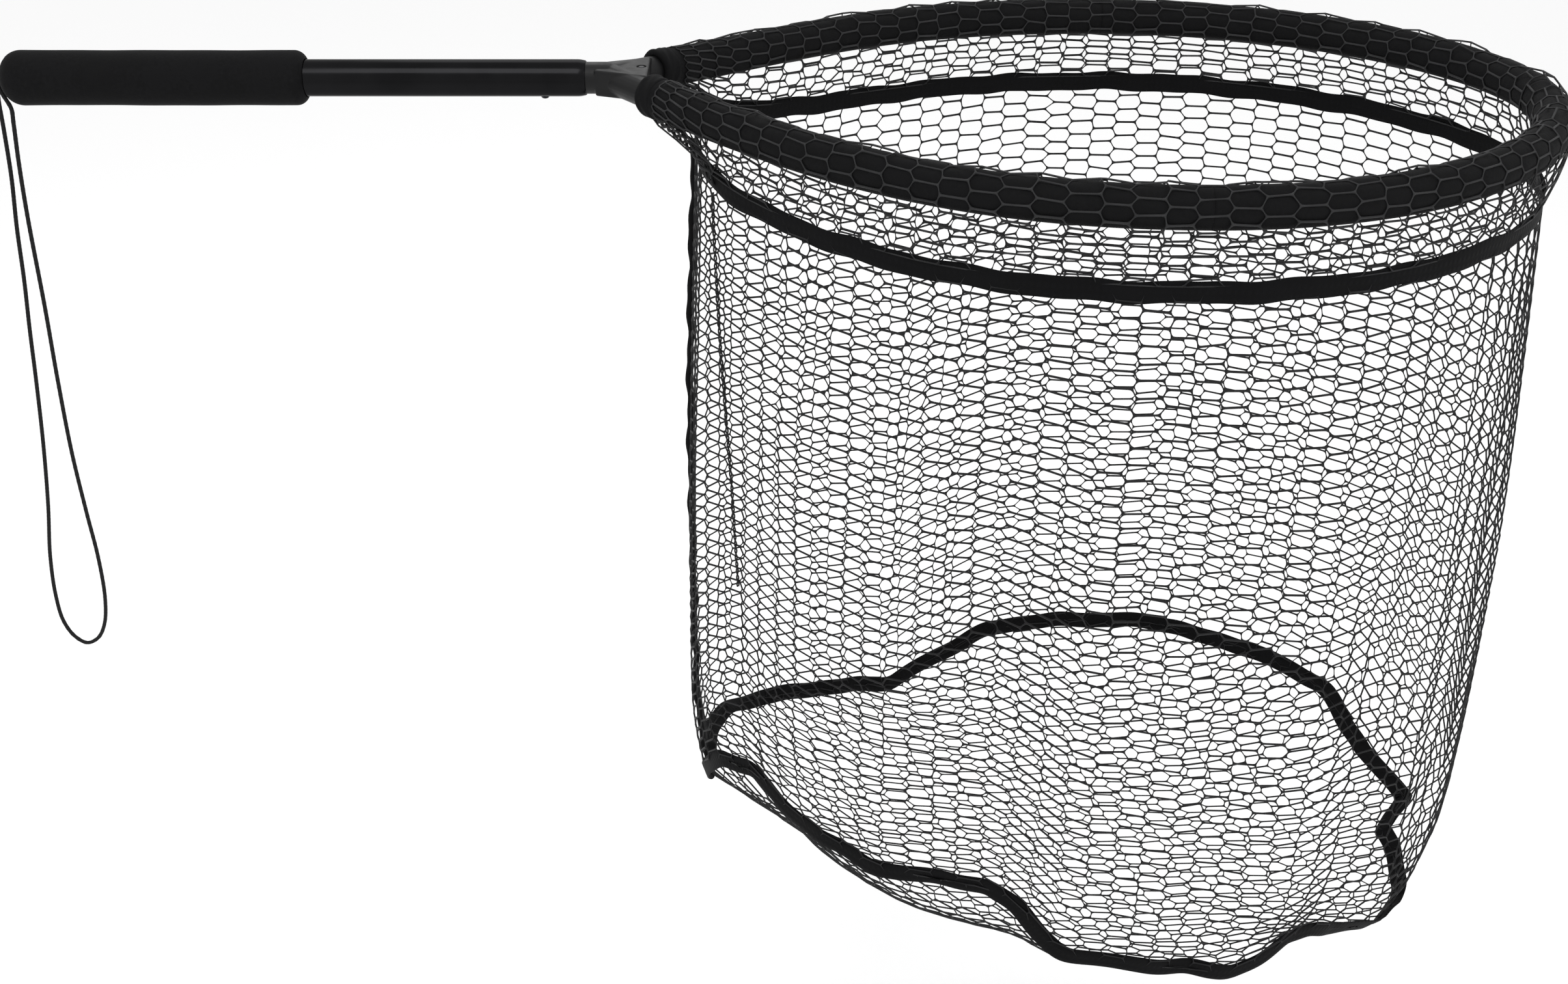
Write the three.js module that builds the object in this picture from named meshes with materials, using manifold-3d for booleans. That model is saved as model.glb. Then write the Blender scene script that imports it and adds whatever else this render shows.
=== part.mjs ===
// Landing net with a short handle: a foam-gripped alloy handle tube, a moulded yoke that plugs into it
// and locks with a sprung button, an alloy hoop wrapped in foam floats, and a deep net bag.
// Units are millimetres. +X runs along the handle towards the hoop, +Z is up.
// The origin is the middle of the grip, on the handle's axis.

import * as THREE from 'three';
import * as BufferGeometryUtils from 'three/addons/utils/BufferGeometryUtils.js';
import Module from 'manifold-3d';

const wasm = await Module();
wasm.setup();

// ---- Driving dimensions -------------------------------------------------------------------------

const clearance = 0.3;

// Grip and handle tube
const gripLength = 209;
const gripDiameter = 37;
const gripButtRound = 14;
const gripFrontRound = 8;
const gripButtWall = 8.5;
const cordHoleDiameter = 8;
const tubeDiameter = 25;
const tubeWall = 1.4;
const tubeExposed = 191;
const tubeLip = 6;
const tubeLipDrop = 0.9;
const plugLength = 13;
const plugBoreDiameter = 7;

// Snap button and its spring
const buttonSetback = 29;
const buttonDiameter = 6;
const buttonProud = 1.9;
const buttonFlangeDiameter = 8.4;
const buttonFlangeHeight = 1.2;
const springThickness = 0.8;
const springWidth = 6;
const springReach = 20;

// Yoke
const spigotLength = 55;
const spigotBoreDiameter = 17.2;
const spigotBoreBack = 4;
const neckLength = 14;
const armDiameter = 19.6;
const armLength = 43;
const webTop = 8;
const webBottom = 10;
const webReach = 30;
const webSpread = 22;
const webFrontDip = 4;
const socketStart = 14;
const screwHeadDiameter = 6;
const screwHeadHeight = 1.6;
const screwShankDiameter = 3.2;
const webScrewReach = 22;
const webScrewLength = 12;
const hoopScrewReach = 30;

// Hoop, as two cubic arcs on each side: root to widest point, and widest point to tip
const hoopRootX = 16;
const hoopTipX = 657;
const hoopWidestX = 385;
const hoopHalfWidth = 214.5;
const hoopArmAngle = 45;
const hoopArmPull = 176;
const hoopShoulderPull = 170;
const hoopFrontPull = 148;
const hoopTipPull = 108;
const hoopDrop = 15;
const hoopDropRun = 130;
const hoopTubeDiameter = 12;
const hoopTubeWall = 1.2;

// Foam floats and the net skirt wrapped over them
const foamDiameter = 26;
const foamGap = 0.9;
const floatJoint = 1;
const skirtGap = 1.8;
const skirtSetback = 9;
const skirtThickness = 1;
const skirtRise = 44;
const skirtShortest = 0.3;
const skirtLegGap = 1.6;
const skirtFootGap = 1;

// Bag
const bagSideOffset = 3;
const bagRearX = 75;
const bagRearCorner = 25;
const bagThickness = 1.2;
const bagFlareRear = 0.04;
const bagFlareFront = 0.055;
const bagFlareSide = 0.065;
const upperTapeHeight = 12;
const upperTapeZ = -67;
const upperTapeRearRise = 28;
const upperTapeRiseRun = 48;
const lowerTapeHeight = 10;
const lowerTapeZ = -597;
const lowerTapeWaveRear = 42;
const lowerTapeWaveFront = 18;
const lowerTapeTwist = 13;
const bottomSag = 35;
const seamTapeWidth = 10;
const seamTapeThickness = 1;

// Wrist cord
const cordDiameter = 3;
const cordStrandGap = 3.4;
const knotDiameter = 12;

// ---- Sizes that follow from the driving dimensions ----------------------------------------------

const gripButtX = -gripLength / 2;
const gripFrontX = gripLength / 2;
const tubeBackX = gripButtX + gripButtWall;
const mouthX = gripFrontX + tubeExposed;
const tubeBore = tubeDiameter - 2 * tubeWall;
const spigotDiameter = tubeBore - 2 * clearance;
const buttonX = mouthX - buttonSetback;
const hoopTubeBore = hoopTubeDiameter - 2 * hoopTubeWall;
const socketDiameter = hoopTubeDiameter + 2 * clearance;
const buttonHoleDiameter = buttonDiameter + 2 * clearance;
const screwHoleDiameter = screwShankDiameter + 2 * clearance;
const screwSeatDiameter = screwHeadDiameter + 2 * clearance;

// ---- Materials ----------------------------------------------------------------------------------

function finish(hex, roughness, metalness) {
  return new THREE.MeshStandardMaterial({ color: hex, roughness, metalness });
}

const anodised = () => finish(0x17181a, 0.3, 0.9);
const gripFoam = () => finish(0x1f1f20, 0.95, 0);
const floatFoam = () => finish(0x1a1a1b, 0.9, 0);
const mouldedNylon = () => finish(0x2b2b2c, 0.5, 0);
const steel = () => finish(0x8d8f92, 0.3, 1);
const blackSteel = () => finish(0x202022, 0.4, 0.8);
const netting = () => finish(0x222223, 0.85, 0);
const webbing = () => finish(0x161617, 0.9, 0);
const cordage = () => finish(0x1b1b1c, 0.85, 0);

// ---- Solid helpers ------------------------------------------------------------------------------

function bare(geometry) {
  const plain = geometry.clone();
  plain.deleteAttribute('normal');
  plain.deleteAttribute('uv');
  return BufferGeometryUtils.mergeVertices(plain, 1e-4);
}

function signedVolume(geometry) {
  const at = geometry.getAttribute('position');
  const index = geometry.getIndex();
  const a = new THREE.Vector3();
  const b = new THREE.Vector3();
  const c = new THREE.Vector3();
  let volume = 0;
  for (let i = 0; i < index.count; i += 3) {
    a.fromBufferAttribute(at, index.getX(i));
    b.fromBufferAttribute(at, index.getX(i + 1));
    c.fromBufferAttribute(at, index.getX(i + 2));
    volume += a.dot(b.cross(c)) / 6;
  }
  return volume;
}

// Turns every face over when the surface has been wound inside out.
function outward(geometry) {
  const merged = bare(geometry);
  if (signedVolume(merged) > 0) return merged;
  const index = merged.getIndex();
  for (let i = 0; i < index.count; i += 3) {
    const first = index.getX(i);
    index.setX(i, index.getX(i + 1));
    index.setX(i + 1, first);
  }
  return merged;
}

function toSolid(geometry) {
  const merged = outward(geometry);
  const vertProperties = new Float32Array(merged.getAttribute('position').array);
  const triVerts = new Uint32Array(merged.getIndex().array);
  return new wasm.Manifold(new wasm.Mesh({ numProp: 3, vertProperties, triVerts }));
}

function fromSolid(solid) {
  const mesh = solid.getMesh();
  const geometry = new THREE.BufferGeometry();
  geometry.setAttribute('position', new THREE.BufferAttribute(mesh.vertProperties, 3));
  geometry.setIndex(new THREE.BufferAttribute(mesh.triVerts, 1));
  return geometry;
}

function joined(...geometries) {
  return geometries.map(toSolid).reduce((whole, next) => whole.add(next));
}

function cutBy(solid, ...tools) {
  return tools.map(toSolid).reduce((left, tool) => left.subtract(tool), solid);
}

// A turned piece about the X axis. The profile is a list of [radius, x].
function turned(profile, sides = 40) {
  const points = profile.map(([radius, x]) => new THREE.Vector2(radius, x));
  return new THREE.LatheGeometry(points, sides).rotateZ(-Math.PI / 2);
}

// A turned piece about the Z axis at (x, y). The profile is a list of [radius, z].
function turnedUpright(profile, x, y, sides = 14) {
  const points = profile.map(([radius, z]) => new THREE.Vector2(radius, z));
  return new THREE.LatheGeometry(points, sides).rotateX(Math.PI / 2).translate(x, y, 0);
}

// A quarter of a circle from one angle to another, as [radius, x] profile points.
function arcProfile(centreR, centreX, radius, from, to, steps) {
  const points = [];
  for (let i = 0; i <= steps; i += 1) {
    const angle = from + ((to - from) * i) / steps;
    points.push([centreR + radius * Math.sin(angle), centreX + radius * Math.cos(angle)]);
  }
  return points;
}

function circleShape(diameter, sides) {
  const shape = new THREE.Shape();
  for (let i = 0; i < sides; i += 1) {
    const angle = (2 * Math.PI * i) / sides;
    const x = (diameter / 2) * Math.cos(angle);
    const y = (diameter / 2) * Math.sin(angle);
    if (i === 0) shape.moveTo(x, y);
    else shape.lineTo(x, y);
  }
  shape.closePath();
  return shape;
}

function ringShape(outerDiameter, innerDiameter, sides) {
  const shape = circleShape(outerDiameter, sides);
  shape.holes.push(circleShape(innerDiameter, sides));
  return shape;
}

function alongPath(shape, path, steps) {
  return new THREE.ExtrudeGeometry(shape, { steps, extrudePath: path, bevelEnabled: false });
}

// A skin over a row of equal rings of points. The row closes on itself, or each end gets a cap.
function lofted(rings, closed, capContours = null) {
  const count = rings[0].length;
  const positions = rings.flat().flatMap((p) => [p.x, p.y, p.z]);
  const faces = [];
  const spans = closed ? rings.length : rings.length - 1;
  for (let i = 0; i < spans; i += 1) {
    const here = i * count;
    const next = ((i + 1) % rings.length) * count;
    for (let j = 0; j < count; j += 1) {
      const k = (j + 1) % count;
      faces.push(here + j, next + j, next + k);
      faces.push(here + j, next + k, here + k);
    }
  }
  if (!closed) {
    const last = (rings.length - 1) * count;
    const startCap = THREE.ShapeUtils.triangulateShape(capContours[0], []);
    const endCap = THREE.ShapeUtils.triangulateShape(capContours[1], []);
    const turn = THREE.ShapeUtils.isClockWise(capContours[0]) ? -1 : 1;
    for (const [a, b, c] of startCap) {
      if (turn > 0) faces.push(a, b, c);
      else faces.push(a, c, b);
    }
    for (const [a, b, c] of endCap) {
      if (turn > 0) faces.push(last + a, last + c, last + b);
      else faces.push(last + a, last + b, last + c);
    }
  }
  const geometry = new THREE.BufferGeometry();
  geometry.setAttribute('position', new THREE.Float32BufferAttribute(positions, 3));
  geometry.setIndex(faces);
  return geometry;
}

// ---- Assembly -----------------------------------------------------------------------------------

const net = new THREE.Group();

function add(name, geometry, material) {
  const mesh = new THREE.Mesh(outward(geometry), material);
  mesh.name = name;
  net.add(mesh);
}

// ---- Hoop centre line ---------------------------------------------------------------------------

function dropAt(x) {
  const run = Math.max(0, x - mouthX - hoopRootX);
  return -hoopDrop * (1 - Math.exp(-run / hoopDropRun));
}

function planArc(a, b, c, d, steps) {
  const arc = new THREE.CubicBezierCurve(a, b, c, d);
  return arc.getPoints(steps);
}

function hoopSide() {
  const angle = THREE.MathUtils.degToRad(hoopArmAngle);
  const root = new THREE.Vector2(mouthX + hoopRootX, 0);
  const heading = new THREE.Vector2(Math.cos(angle), Math.sin(angle));
  const rootHandle = heading.multiplyScalar(hoopArmPull).add(root);
  const widest = new THREE.Vector2(mouthX + hoopWidestX, hoopHalfWidth);
  const rearHandle = new THREE.Vector2(widest.x - hoopShoulderPull, hoopHalfWidth);
  const frontHandle = new THREE.Vector2(widest.x + hoopFrontPull, hoopHalfWidth);
  const tip = new THREE.Vector2(mouthX + hoopTipX, 0);
  const tipHandle = new THREE.Vector2(tip.x, hoopTipPull);
  const rear = planArc(root, rootHandle, rearHandle, widest, 40);
  const front = planArc(widest, frontHandle, tipHandle, tip, 40);
  return rear.concat(front.slice(1));
}

const farSide = hoopSide();
const nearSide = farSide.slice(0, -1).reverse().map((p) => new THREE.Vector2(p.x, -p.y));
const hoopPlan = farSide.concat(nearSide);
const hoopCurve = new THREE.CatmullRomCurve3(hoopPlan.map((p) => new THREE.Vector3(p.x, p.y, dropAt(p.x))));
hoopCurve.arcLengthDivisions = 1200;
const hoopLength = hoopCurve.getLength();

function hoopPoint(s) {
  return hoopCurve.getPointAt(THREE.MathUtils.clamp(s / hoopLength, 0, 1));
}

function hoopTangent(s) {
  return hoopCurve.getTangentAt(THREE.MathUtils.clamp(s / hoopLength, 0, 1));
}

// The stretch of the hoop's centre line between two distances from the root on the far side.
function hoopStretch(from, to, pieces) {
  const points = [];
  for (let i = 0; i <= pieces; i += 1) {
    points.push(hoopPoint(from + ((to - from) * i) / pieces));
  }
  return new THREE.CatmullRomCurve3(points);
}

// ---- Handle -------------------------------------------------------------------------------------

function makeHandleTube() {
  const outer = tubeDiameter / 2;
  const inner = tubeBore / 2;
  const lipEdge = outer - tubeLipDrop;
  const profile = [
    [inner, tubeBackX],
    [outer, tubeBackX],
    [outer, mouthX - tubeLip],
    [outer - 0.15 * tubeLipDrop, mouthX - 0.6 * tubeLip],
    [outer - 0.55 * tubeLipDrop, mouthX - 0.2 * tubeLip],
    [lipEdge, mouthX],
    [inner, mouthX],
    [inner, tubeBackX],
  ];
  const drill = new THREE.CylinderGeometry(buttonHoleDiameter / 2, buttonHoleDiameter / 2, outer, 24);
  drill.rotateX(Math.PI / 2).translate(buttonX, 0, -outer);
  return fromSolid(cutBy(toSolid(turned(profile, 36)), drill));
}

function makeGrip() {
  const outer = gripDiameter / 2;
  const bore = tubeDiameter / 2 + clearance;
  const hole = cordHoleDiameter / 2;
  const floorX = tubeBackX - clearance;
  const right = Math.PI / 2;
  const buttR = outer - gripButtRound;
  const frontR = outer - gripFrontRound;
  const butt = arcProfile(buttR, gripButtX + gripButtRound, gripButtRound, Math.PI, right, 7);
  const front = arcProfile(frontR, gripFrontX - gripFrontRound, gripFrontRound, right, 0.25, 6);
  const frontEdgeX = front[front.length - 1][1];
  const profile = [
    [hole, gripButtX],
    ...butt,
    ...front,
    [bore, frontEdgeX],
    [bore, floorX],
    [hole, floorX],
    [hole, gripButtX],
  ];
  return turned(profile, 32);
}

function makeButtPlug() {
  const outer = tubeBore / 2 - clearance;
  const bore = plugBoreDiameter / 2;
  const start = tubeBackX + clearance;
  const end = start + plugLength;
  const profile = [
    [bore, start],
    [outer, start],
    [outer, end - 1.5],
    [outer - 1.5, end],
    [bore, end],
    [bore, start],
  ];
  return turned(profile, 24);
}

add('handle_tube', makeHandleTube(), anodised());
add('grip', makeGrip(), gripFoam());
add('butt_plug', makeButtPlug(), mouldedNylon());

// ---- Wrist cord, with its knot behind the butt plug ---------------------------------------------

const plugFrontX = tubeBackX + clearance + plugLength;
const knotX = plugFrontX + clearance + knotDiameter / 2 + 3;
const strand = cordStrandGap / 2;
const cordStartX = knotX - knotDiameter / 2 - clearance;

const cordRoute = [
  [cordStartX, strand, 0],
  [tubeBackX, strand, 0],
  [-106.5, strand, -0.2],
  [-110, strand, -3.6],
  [-111.6, strand, -14],
  [-112.6, strand, -38],
  [-114.5, strand, -72],
  [-118.5, strand, -110],
  [-121.5, strand, -150],
  [-125.5, strand, -190],
  [-129, strand, -230],
  [-134.5, strand, -285],
  [-141.5, strand, -339],
  [-149, strand, -385],
  [-151.8, strand, -422],
  [-150, 1.2, -446],
  [-143.5, 0.6, -460],
  [-134.5, 0, -466],
  [-124.5, -0.6, -461],
  [-116.5, -1.2, -447],
  [-111.3, -strand, -422],
  [-109.8, -strand, -384],
  [-111.3, -strand, -343],
  [-112.6, -strand, -290],
  [-111.4, -strand, -230],
  [-109.2, -strand, -170],
  [-107.6, -strand, -100],
  [-105.6, -strand, -60],
  [-103.4, -strand, -32],
  [-102.8, -strand, -21],
  [-105.6, -strand, -13.5],
  [-107.9, -strand, -7],
  [-107.6, -strand, -2.2],
  [-105.6, -strand, 0],
  [-100, -strand, 0],
  [cordStartX, -strand, 0],
];

const cordPath = new THREE.CatmullRomCurve3(cordRoute.map(([x, y, z]) => new THREE.Vector3(x, y, z)));
add('wrist_cord', alongPath(circleShape(cordDiameter, 8), cordPath, 79), cordage());
add('cord_knot', new THREE.SphereGeometry(knotDiameter / 2, 10, 8).translate(knotX, 0, 0), cordage());

// ---- Snap button and spring ---------------------------------------------------------------------

function makeSnapButton() {
  const radius = buttonDiameter / 2;
  const flange = buttonFlangeDiameter / 2;
  const bore = spigotBoreDiameter / 2;
  const flangeBottom = -Math.sqrt(bore * bore - flange * flange) + clearance;
  const flangeTop = flangeBottom + buttonFlangeHeight;
  const tip = -tubeDiameter / 2 - buttonProud;
  const shoulder = -tubeDiameter / 2 - 0.2;
  const dome = tip - shoulder;
  const profile = [
    [0, tip],
    [0.45 * radius, tip - 0.12 * dome],
    [0.8 * radius, tip - 0.4 * dome],
    [radius, shoulder],
    [radius, flangeBottom],
    [flange, flangeBottom],
    [flange, flangeTop],
    [0, flangeTop],
  ];
  return turnedUpright(profile, buttonX, 0, 16);
}

// A folded leaf in the spigot's bore: the lower leg lies on the button, the upper one on the bore's roof.
function makeSnapSpring() {
  const bore = spigotBoreDiameter / 2;
  const flange = buttonFlangeDiameter / 2;
  const legZ = -Math.sqrt(bore * bore - flange * flange) + buttonFlangeHeight + 2 * clearance;
  const half = springWidth / 2;
  const roofZ = Math.sqrt(bore * bore - half * half) - clearance;
  const bendX = buttonX - springReach;
  const middle = (legZ + roofZ) / 2;
  const outer = (roofZ - legZ) / 2;
  const tail = springReach + flange;
  const shape = new THREE.Shape();
  shape.moveTo(bendX + tail, legZ);
  shape.lineTo(bendX, legZ);
  shape.absarc(bendX, middle, outer, -Math.PI / 2, -1.5 * Math.PI, true);
  shape.lineTo(bendX + 0.75 * tail, roofZ);
  shape.lineTo(bendX + 0.75 * tail, roofZ - springThickness);
  shape.lineTo(bendX, roofZ - springThickness);
  shape.absarc(bendX, middle, outer - springThickness, -1.5 * Math.PI, -Math.PI / 2, false);
  shape.lineTo(bendX + tail, legZ + springThickness);
  shape.closePath();
  const settings = { depth: springWidth, bevelEnabled: false, curveSegments: 12 };
  const strip = new THREE.ExtrudeGeometry(shape, settings);
  return strip.translate(0, 0, -half).rotateX(Math.PI / 2);
}

add('snap_button', makeSnapButton(), steel());
add('snap_spring', makeSnapSpring(), steel());

// ---- Yoke ---------------------------------------------------------------------------------------

const sides = [
  ['far', 1],
  ['near', -1],
];

function armStretch(side, from, to) {
  const points = [];
  for (let i = 0; i <= 6; i += 1) {
    const p = hoopPoint(from + ((to - from) * i) / 6);
    points.push(new THREE.Vector3(p.x, side * p.y, p.z));
  }
  return new THREE.CatmullRomCurve3(points);
}

function makeWeb() {
  const startX = mouthX + neckLength - 6;
  const frontX = mouthX + hoopRootX + webReach;
  const startHalf = spigotDiameter / 2 - 1.6;
  const shape = new THREE.Shape();
  shape.moveTo(startX, -startHalf);
  shape.lineTo(frontX - 4, -webSpread);
  shape.quadraticCurveTo(frontX - webFrontDip, 0, frontX - 4, webSpread);
  shape.lineTo(startX, startHalf);
  shape.closePath();
  const bevel = 1.2;
  const settings = {
    depth: webTop + webBottom - 2 * bevel,
    bevelEnabled: true,
    bevelThickness: bevel,
    bevelSize: bevel,
    bevelSegments: 3,
    curveSegments: 12,
  };
  return new THREE.ExtrudeGeometry(shape, settings).translate(0, 0, bevel - webBottom);
}

function screwSeats() {
  const seats = [];
  const seatTop = webTop + 1;
  const headFloor = webTop - screwHeadHeight - clearance;
  const webX = mouthX + hoopRootX + webScrewReach;
  seats.push(turnedUpright([
    [0, headFloor - webScrewLength - clearance],
    [screwHoleDiameter / 2, headFloor - webScrewLength - clearance],
    [screwHoleDiameter / 2, headFloor],
    [screwSeatDiameter / 2, headFloor],
    [screwSeatDiameter / 2, seatTop],
    [0, seatTop],
  ], webX, 0));
  const at = hoopPoint(hoopScrewReach);
  const low = at.z - armDiameter / 2;
  for (const [, side] of sides) {
    seats.push(turnedUpright([
      [0, low - 2],
      [screwSeatDiameter / 2, low - 2],
      [screwSeatDiameter / 2, low + screwHeadHeight + clearance],
      [screwHoleDiameter / 2, low + screwHeadHeight + clearance],
      [screwHoleDiameter / 2, at.z],
      [0, at.z],
    ], at.x, side * at.y));
  }
  return seats;
}

function makeYoke() {
  const radius = spigotDiameter / 2;
  const start = mouthX - spigotLength;
  const end = mouthX + neckLength;
  const barrel = turned([
    [0, start],
    [radius - 1, start],
    [radius, start + 1],
    [radius, end],
    [0, end],
  ], 32);
  const root = new THREE.SphereGeometry(radius, 24, 16).translate(mouthX + hoopRootX - 2, 0, 0);
  const arms = sides.map(([, side]) => {
    return alongPath(circleShape(armDiameter, 22), armStretch(side, 1, armLength), 5);
  });
  const body = joined(barrel, root, ...arms, makeWeb());
  const boreStart = start - 1;
  const boreEnd = mouthX - spigotBoreBack;
  const bore = turned([
    [0, boreStart],
    [spigotBoreDiameter / 2, boreStart],
    [spigotBoreDiameter / 2, boreEnd],
    [0, boreEnd],
  ], 24);
  const drill = new THREE.CylinderGeometry(buttonHoleDiameter / 2, buttonHoleDiameter / 2, radius, 24);
  drill.rotateX(Math.PI / 2).translate(buttonX, 0, -radius);
  const sockets = sides.map(([, side]) => {
    return alongPath(circleShape(socketDiameter, 14), armStretch(side, socketStart, armLength + 4), 5);
  });
  return fromSolid(cutBy(body, bore, drill, ...sockets, ...screwSeats()));
}

add('yoke', makeYoke(), mouldedNylon());

// ---- Screws in the yoke -------------------------------------------------------------------------

// A pan-headed screw along Z. up is 1 when its head points up and -1 when it points down.
function makeScrew(x, y, seatZ, length, up) {
  const head = screwHeadDiameter / 2;
  const shank = screwShankDiameter / 2;
  const under = seatZ + up * clearance * 0.5;
  const top = under + up * screwHeadHeight;
  const profile = [
    [0, top],
    [0.6 * head, top - up * 0.1],
    [head, top - up * 0.55 * screwHeadHeight],
    [head, under],
    [shank, under],
    [shank, under - up * (length - 1.5)],
    [0.3 * shank, under - up * length],
    [0, under - up * length],
  ];
  return turnedUpright(profile, x, y, 12);
}

const webScrewX = mouthX + hoopRootX + webScrewReach;
const webScrewSeat = webTop - screwHeadHeight - clearance;
add('yoke_screw', makeScrew(webScrewX, 0, webScrewSeat, webScrewLength, 1), blackSteel());

const hoopScrewAt = hoopPoint(hoopScrewReach);
const hoopScrewSeat = hoopScrewAt.z - armDiameter / 2 + screwHeadHeight + clearance;
const hoopScrewLength = hoopScrewAt.z - hoopScrewSeat - 1;
for (const [name, side] of sides) {
  const screw = makeScrew(hoopScrewAt.x, side * hoopScrewAt.y, hoopScrewSeat, hoopScrewLength, -1);
  add(`hoop_screw_${name}`, screw, blackSteel());
}

// ---- Hoop tube ----------------------------------------------------------------------------------

function makeHoopTube() {
  const margin = socketStart + clearance;
  const path = hoopStretch(margin, hoopLength - margin, 240);
  const tube = toSolid(alongPath(ringShape(hoopTubeDiameter, hoopTubeBore, 10), path, 50));
  const drills = sides.map(([, side]) => {
    const radius = screwHoleDiameter / 2;
    const drill = new THREE.CylinderGeometry(radius, radius, hoopTubeDiameter / 2, 16);
    const depth = hoopScrewAt.z - hoopTubeDiameter / 2;
    return drill.rotateX(Math.PI / 2).translate(hoopScrewAt.x, side * hoopScrewAt.y, depth);
  });
  return fromSolid(cutBy(tube, ...drills));
}

add('hoop_tube', makeHoopTube(), anodised());

// ---- Foam floats --------------------------------------------------------------------------------

const foamStart = armLength + clearance;
const widestAt = farSide.slice(0, 41).reduce((total, p, i, list) => {
  if (i === 0) return 0;
  return total + Math.hypot(p.distanceTo(list[i - 1]), dropAt(p.x) - dropAt(list[i - 1].x));
}, 0);

const floats = [
  ['float_rear_far', foamStart, widestAt],
  ['float_front_far', widestAt + floatJoint, (hoopLength - floatJoint) / 2],
  ['float_front_near', (hoopLength + floatJoint) / 2, hoopLength - widestAt - floatJoint],
  ['float_rear_near', hoopLength - widestAt, hoopLength - foamStart],
];

for (const [name, from, to] of floats) {
  const shape = ringShape(foamDiameter, hoopTubeDiameter + 2 * foamGap, 14);
  add(name, alongPath(shape, hoopStretch(from, to, 120), 12), floatFoam());
}

// ---- Net skirt, folded over the floats ----------------------------------------------------------

// The middle height of the upper tape, which climbs towards the yoke at the rear.
function upperTapeHeightAt(x) {
  const run = Math.max(0, x - mouthX - bagRearX);
  return upperTapeZ + upperTapeRearRise * Math.exp(-run / upperTapeRiseRun);
}

// The folded net's centre line in one cross-section, as [outward, up] from the hoop's centre.
function skirtLine(legDrop, share) {
  const radius = foamDiameter / 2 + skirtGap + skirtThickness / 2;
  const foot = (skirtLegGap + skirtThickness) / 2;
  const line = [];
  for (let i = 0; i <= 2; i += 1) {
    const t = share * (1 - i / 2);
    line.push([radius + (bagSideOffset + foot - radius) * t * t, -legDrop * t]);
  }
  for (let i = 1; i < 6; i += 1) {
    const angle = (Math.PI * i) / 6;
    line.push([radius * Math.cos(angle), radius * Math.sin(angle)]);
  }
  for (let i = 0; i <= 2; i += 1) {
    const t = (share * i) / 2;
    line.push([-radius + (bagSideOffset - foot + radius) * t * t, -legDrop * t]);
  }
  return line;
}

function strokeContour(line, thickness) {
  const one = [];
  const other = [];
  for (let i = 0; i < line.length; i += 1) {
    const before = line[Math.max(0, i - 1)];
    const after = line[Math.min(line.length - 1, i + 1)];
    const run = Math.hypot(after[0] - before[0], after[1] - before[1]);
    const nx = (-(after[1] - before[1]) / run) * (thickness / 2);
    const ny = ((after[0] - before[0]) / run) * (thickness / 2);
    one.push(new THREE.Vector2(line[i][0] - nx, line[i][1] - ny));
    other.push(new THREE.Vector2(line[i][0] + nx, line[i][1] + ny));
  }
  return one.concat(other.reverse());
}

function makeSkirt() {
  const start = foamStart + skirtSetback;
  const end = hoopLength - start;
  const stations = 44;
  const rings = [];
  const contours = [];
  for (let i = 0; i <= stations; i += 1) {
    const s = start + ((end - start) * i) / stations;
    const centre = hoopPoint(s);
    const tangent = hoopTangent(s);
    const away = new THREE.Vector3(tangent.y, -tangent.x, 0).normalize().negate();
    const fromEnd = Math.min(s - start, end - s);
    const share = Math.min(1, skirtShortest + ((1 - skirtShortest) * fromEnd) / skirtRise);
    const legDrop = centre.z - (upperTapeHeightAt(centre.x) + upperTapeHeight / 2) - skirtFootGap;
    const contour = strokeContour(skirtLine(legDrop, share), skirtThickness);
    contours.push(contour);
    rings.push(contour.map((p) => new THREE.Vector3(
      centre.x + away.x * p.x,
      centre.y + away.y * p.x,
      centre.z + p.y,
    )));
  }
  return lofted(rings, false, [contours[0], contours[stations]]);
}

add('net_skirt', makeSkirt(), netting());

// ---- Bag outline --------------------------------------------------------------------------------

// The bag's plan at its top: the hoop's own line set outward, closed by a straight rear between the arms.
function bagPlanPoints() {
  const rearX = mouthX + bagRearX;
  const cornerX = rearX + bagRearCorner;
  const side = farSide.filter((p, i) => p.x > cornerX && i % 5 === 0);
  const far = side.map((p, i) => {
    const before = side[Math.max(0, i - 1)];
    const after = side[Math.min(side.length - 1, i + 1)];
    const along = after.clone().sub(before).normalize();
    if (i === side.length - 1) return new THREE.Vector2(p.x + bagSideOffset, 0);
    return new THREE.Vector2(p.x - along.y * bagSideOffset, p.y + along.x * bagSideOffset);
  });
  const first = far[0];
  const rear = [
    new THREE.Vector2(rearX, 0),
    new THREE.Vector2(rearX + 0.03 * bagRearCorner, 0.35 * first.y),
    new THREE.Vector2(rearX + 0.28 * bagRearCorner, 0.68 * first.y),
  ];
  const near = far.slice(0, -1).reverse().map((p) => new THREE.Vector2(p.x, -p.y));
  const rearNear = rear.slice(1).reverse().map((p) => new THREE.Vector2(p.x, -p.y));
  return rear.concat(far, near, rearNear);
}

const bagPlan = new THREE.CatmullRomCurve3(
  bagPlanPoints().map((p) => new THREE.Vector3(p.x, p.y, 0)),
  true,
);
const bagStations = 56;
const bagOutline = bagPlan.getSpacedPoints(bagStations).slice(0, bagStations);
const bagCentreX = mouthX + hoopWidestX - 18;

// The middle height of the lower tape: each quarter of the bag hangs a little higher or lower.
function lowerTapeHeightAt(p) {
  const angle = Math.atan2(p.y, p.x - bagCentreX);
  const frontShare = (1 + Math.cos(angle)) / 2;
  const wave = lowerTapeWaveRear + (lowerTapeWaveFront - lowerTapeWaveRear) * frontShare;
  return lowerTapeZ + wave * Math.sin(2 * (angle + THREE.MathUtils.degToRad(lowerTapeTwist)));
}

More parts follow.
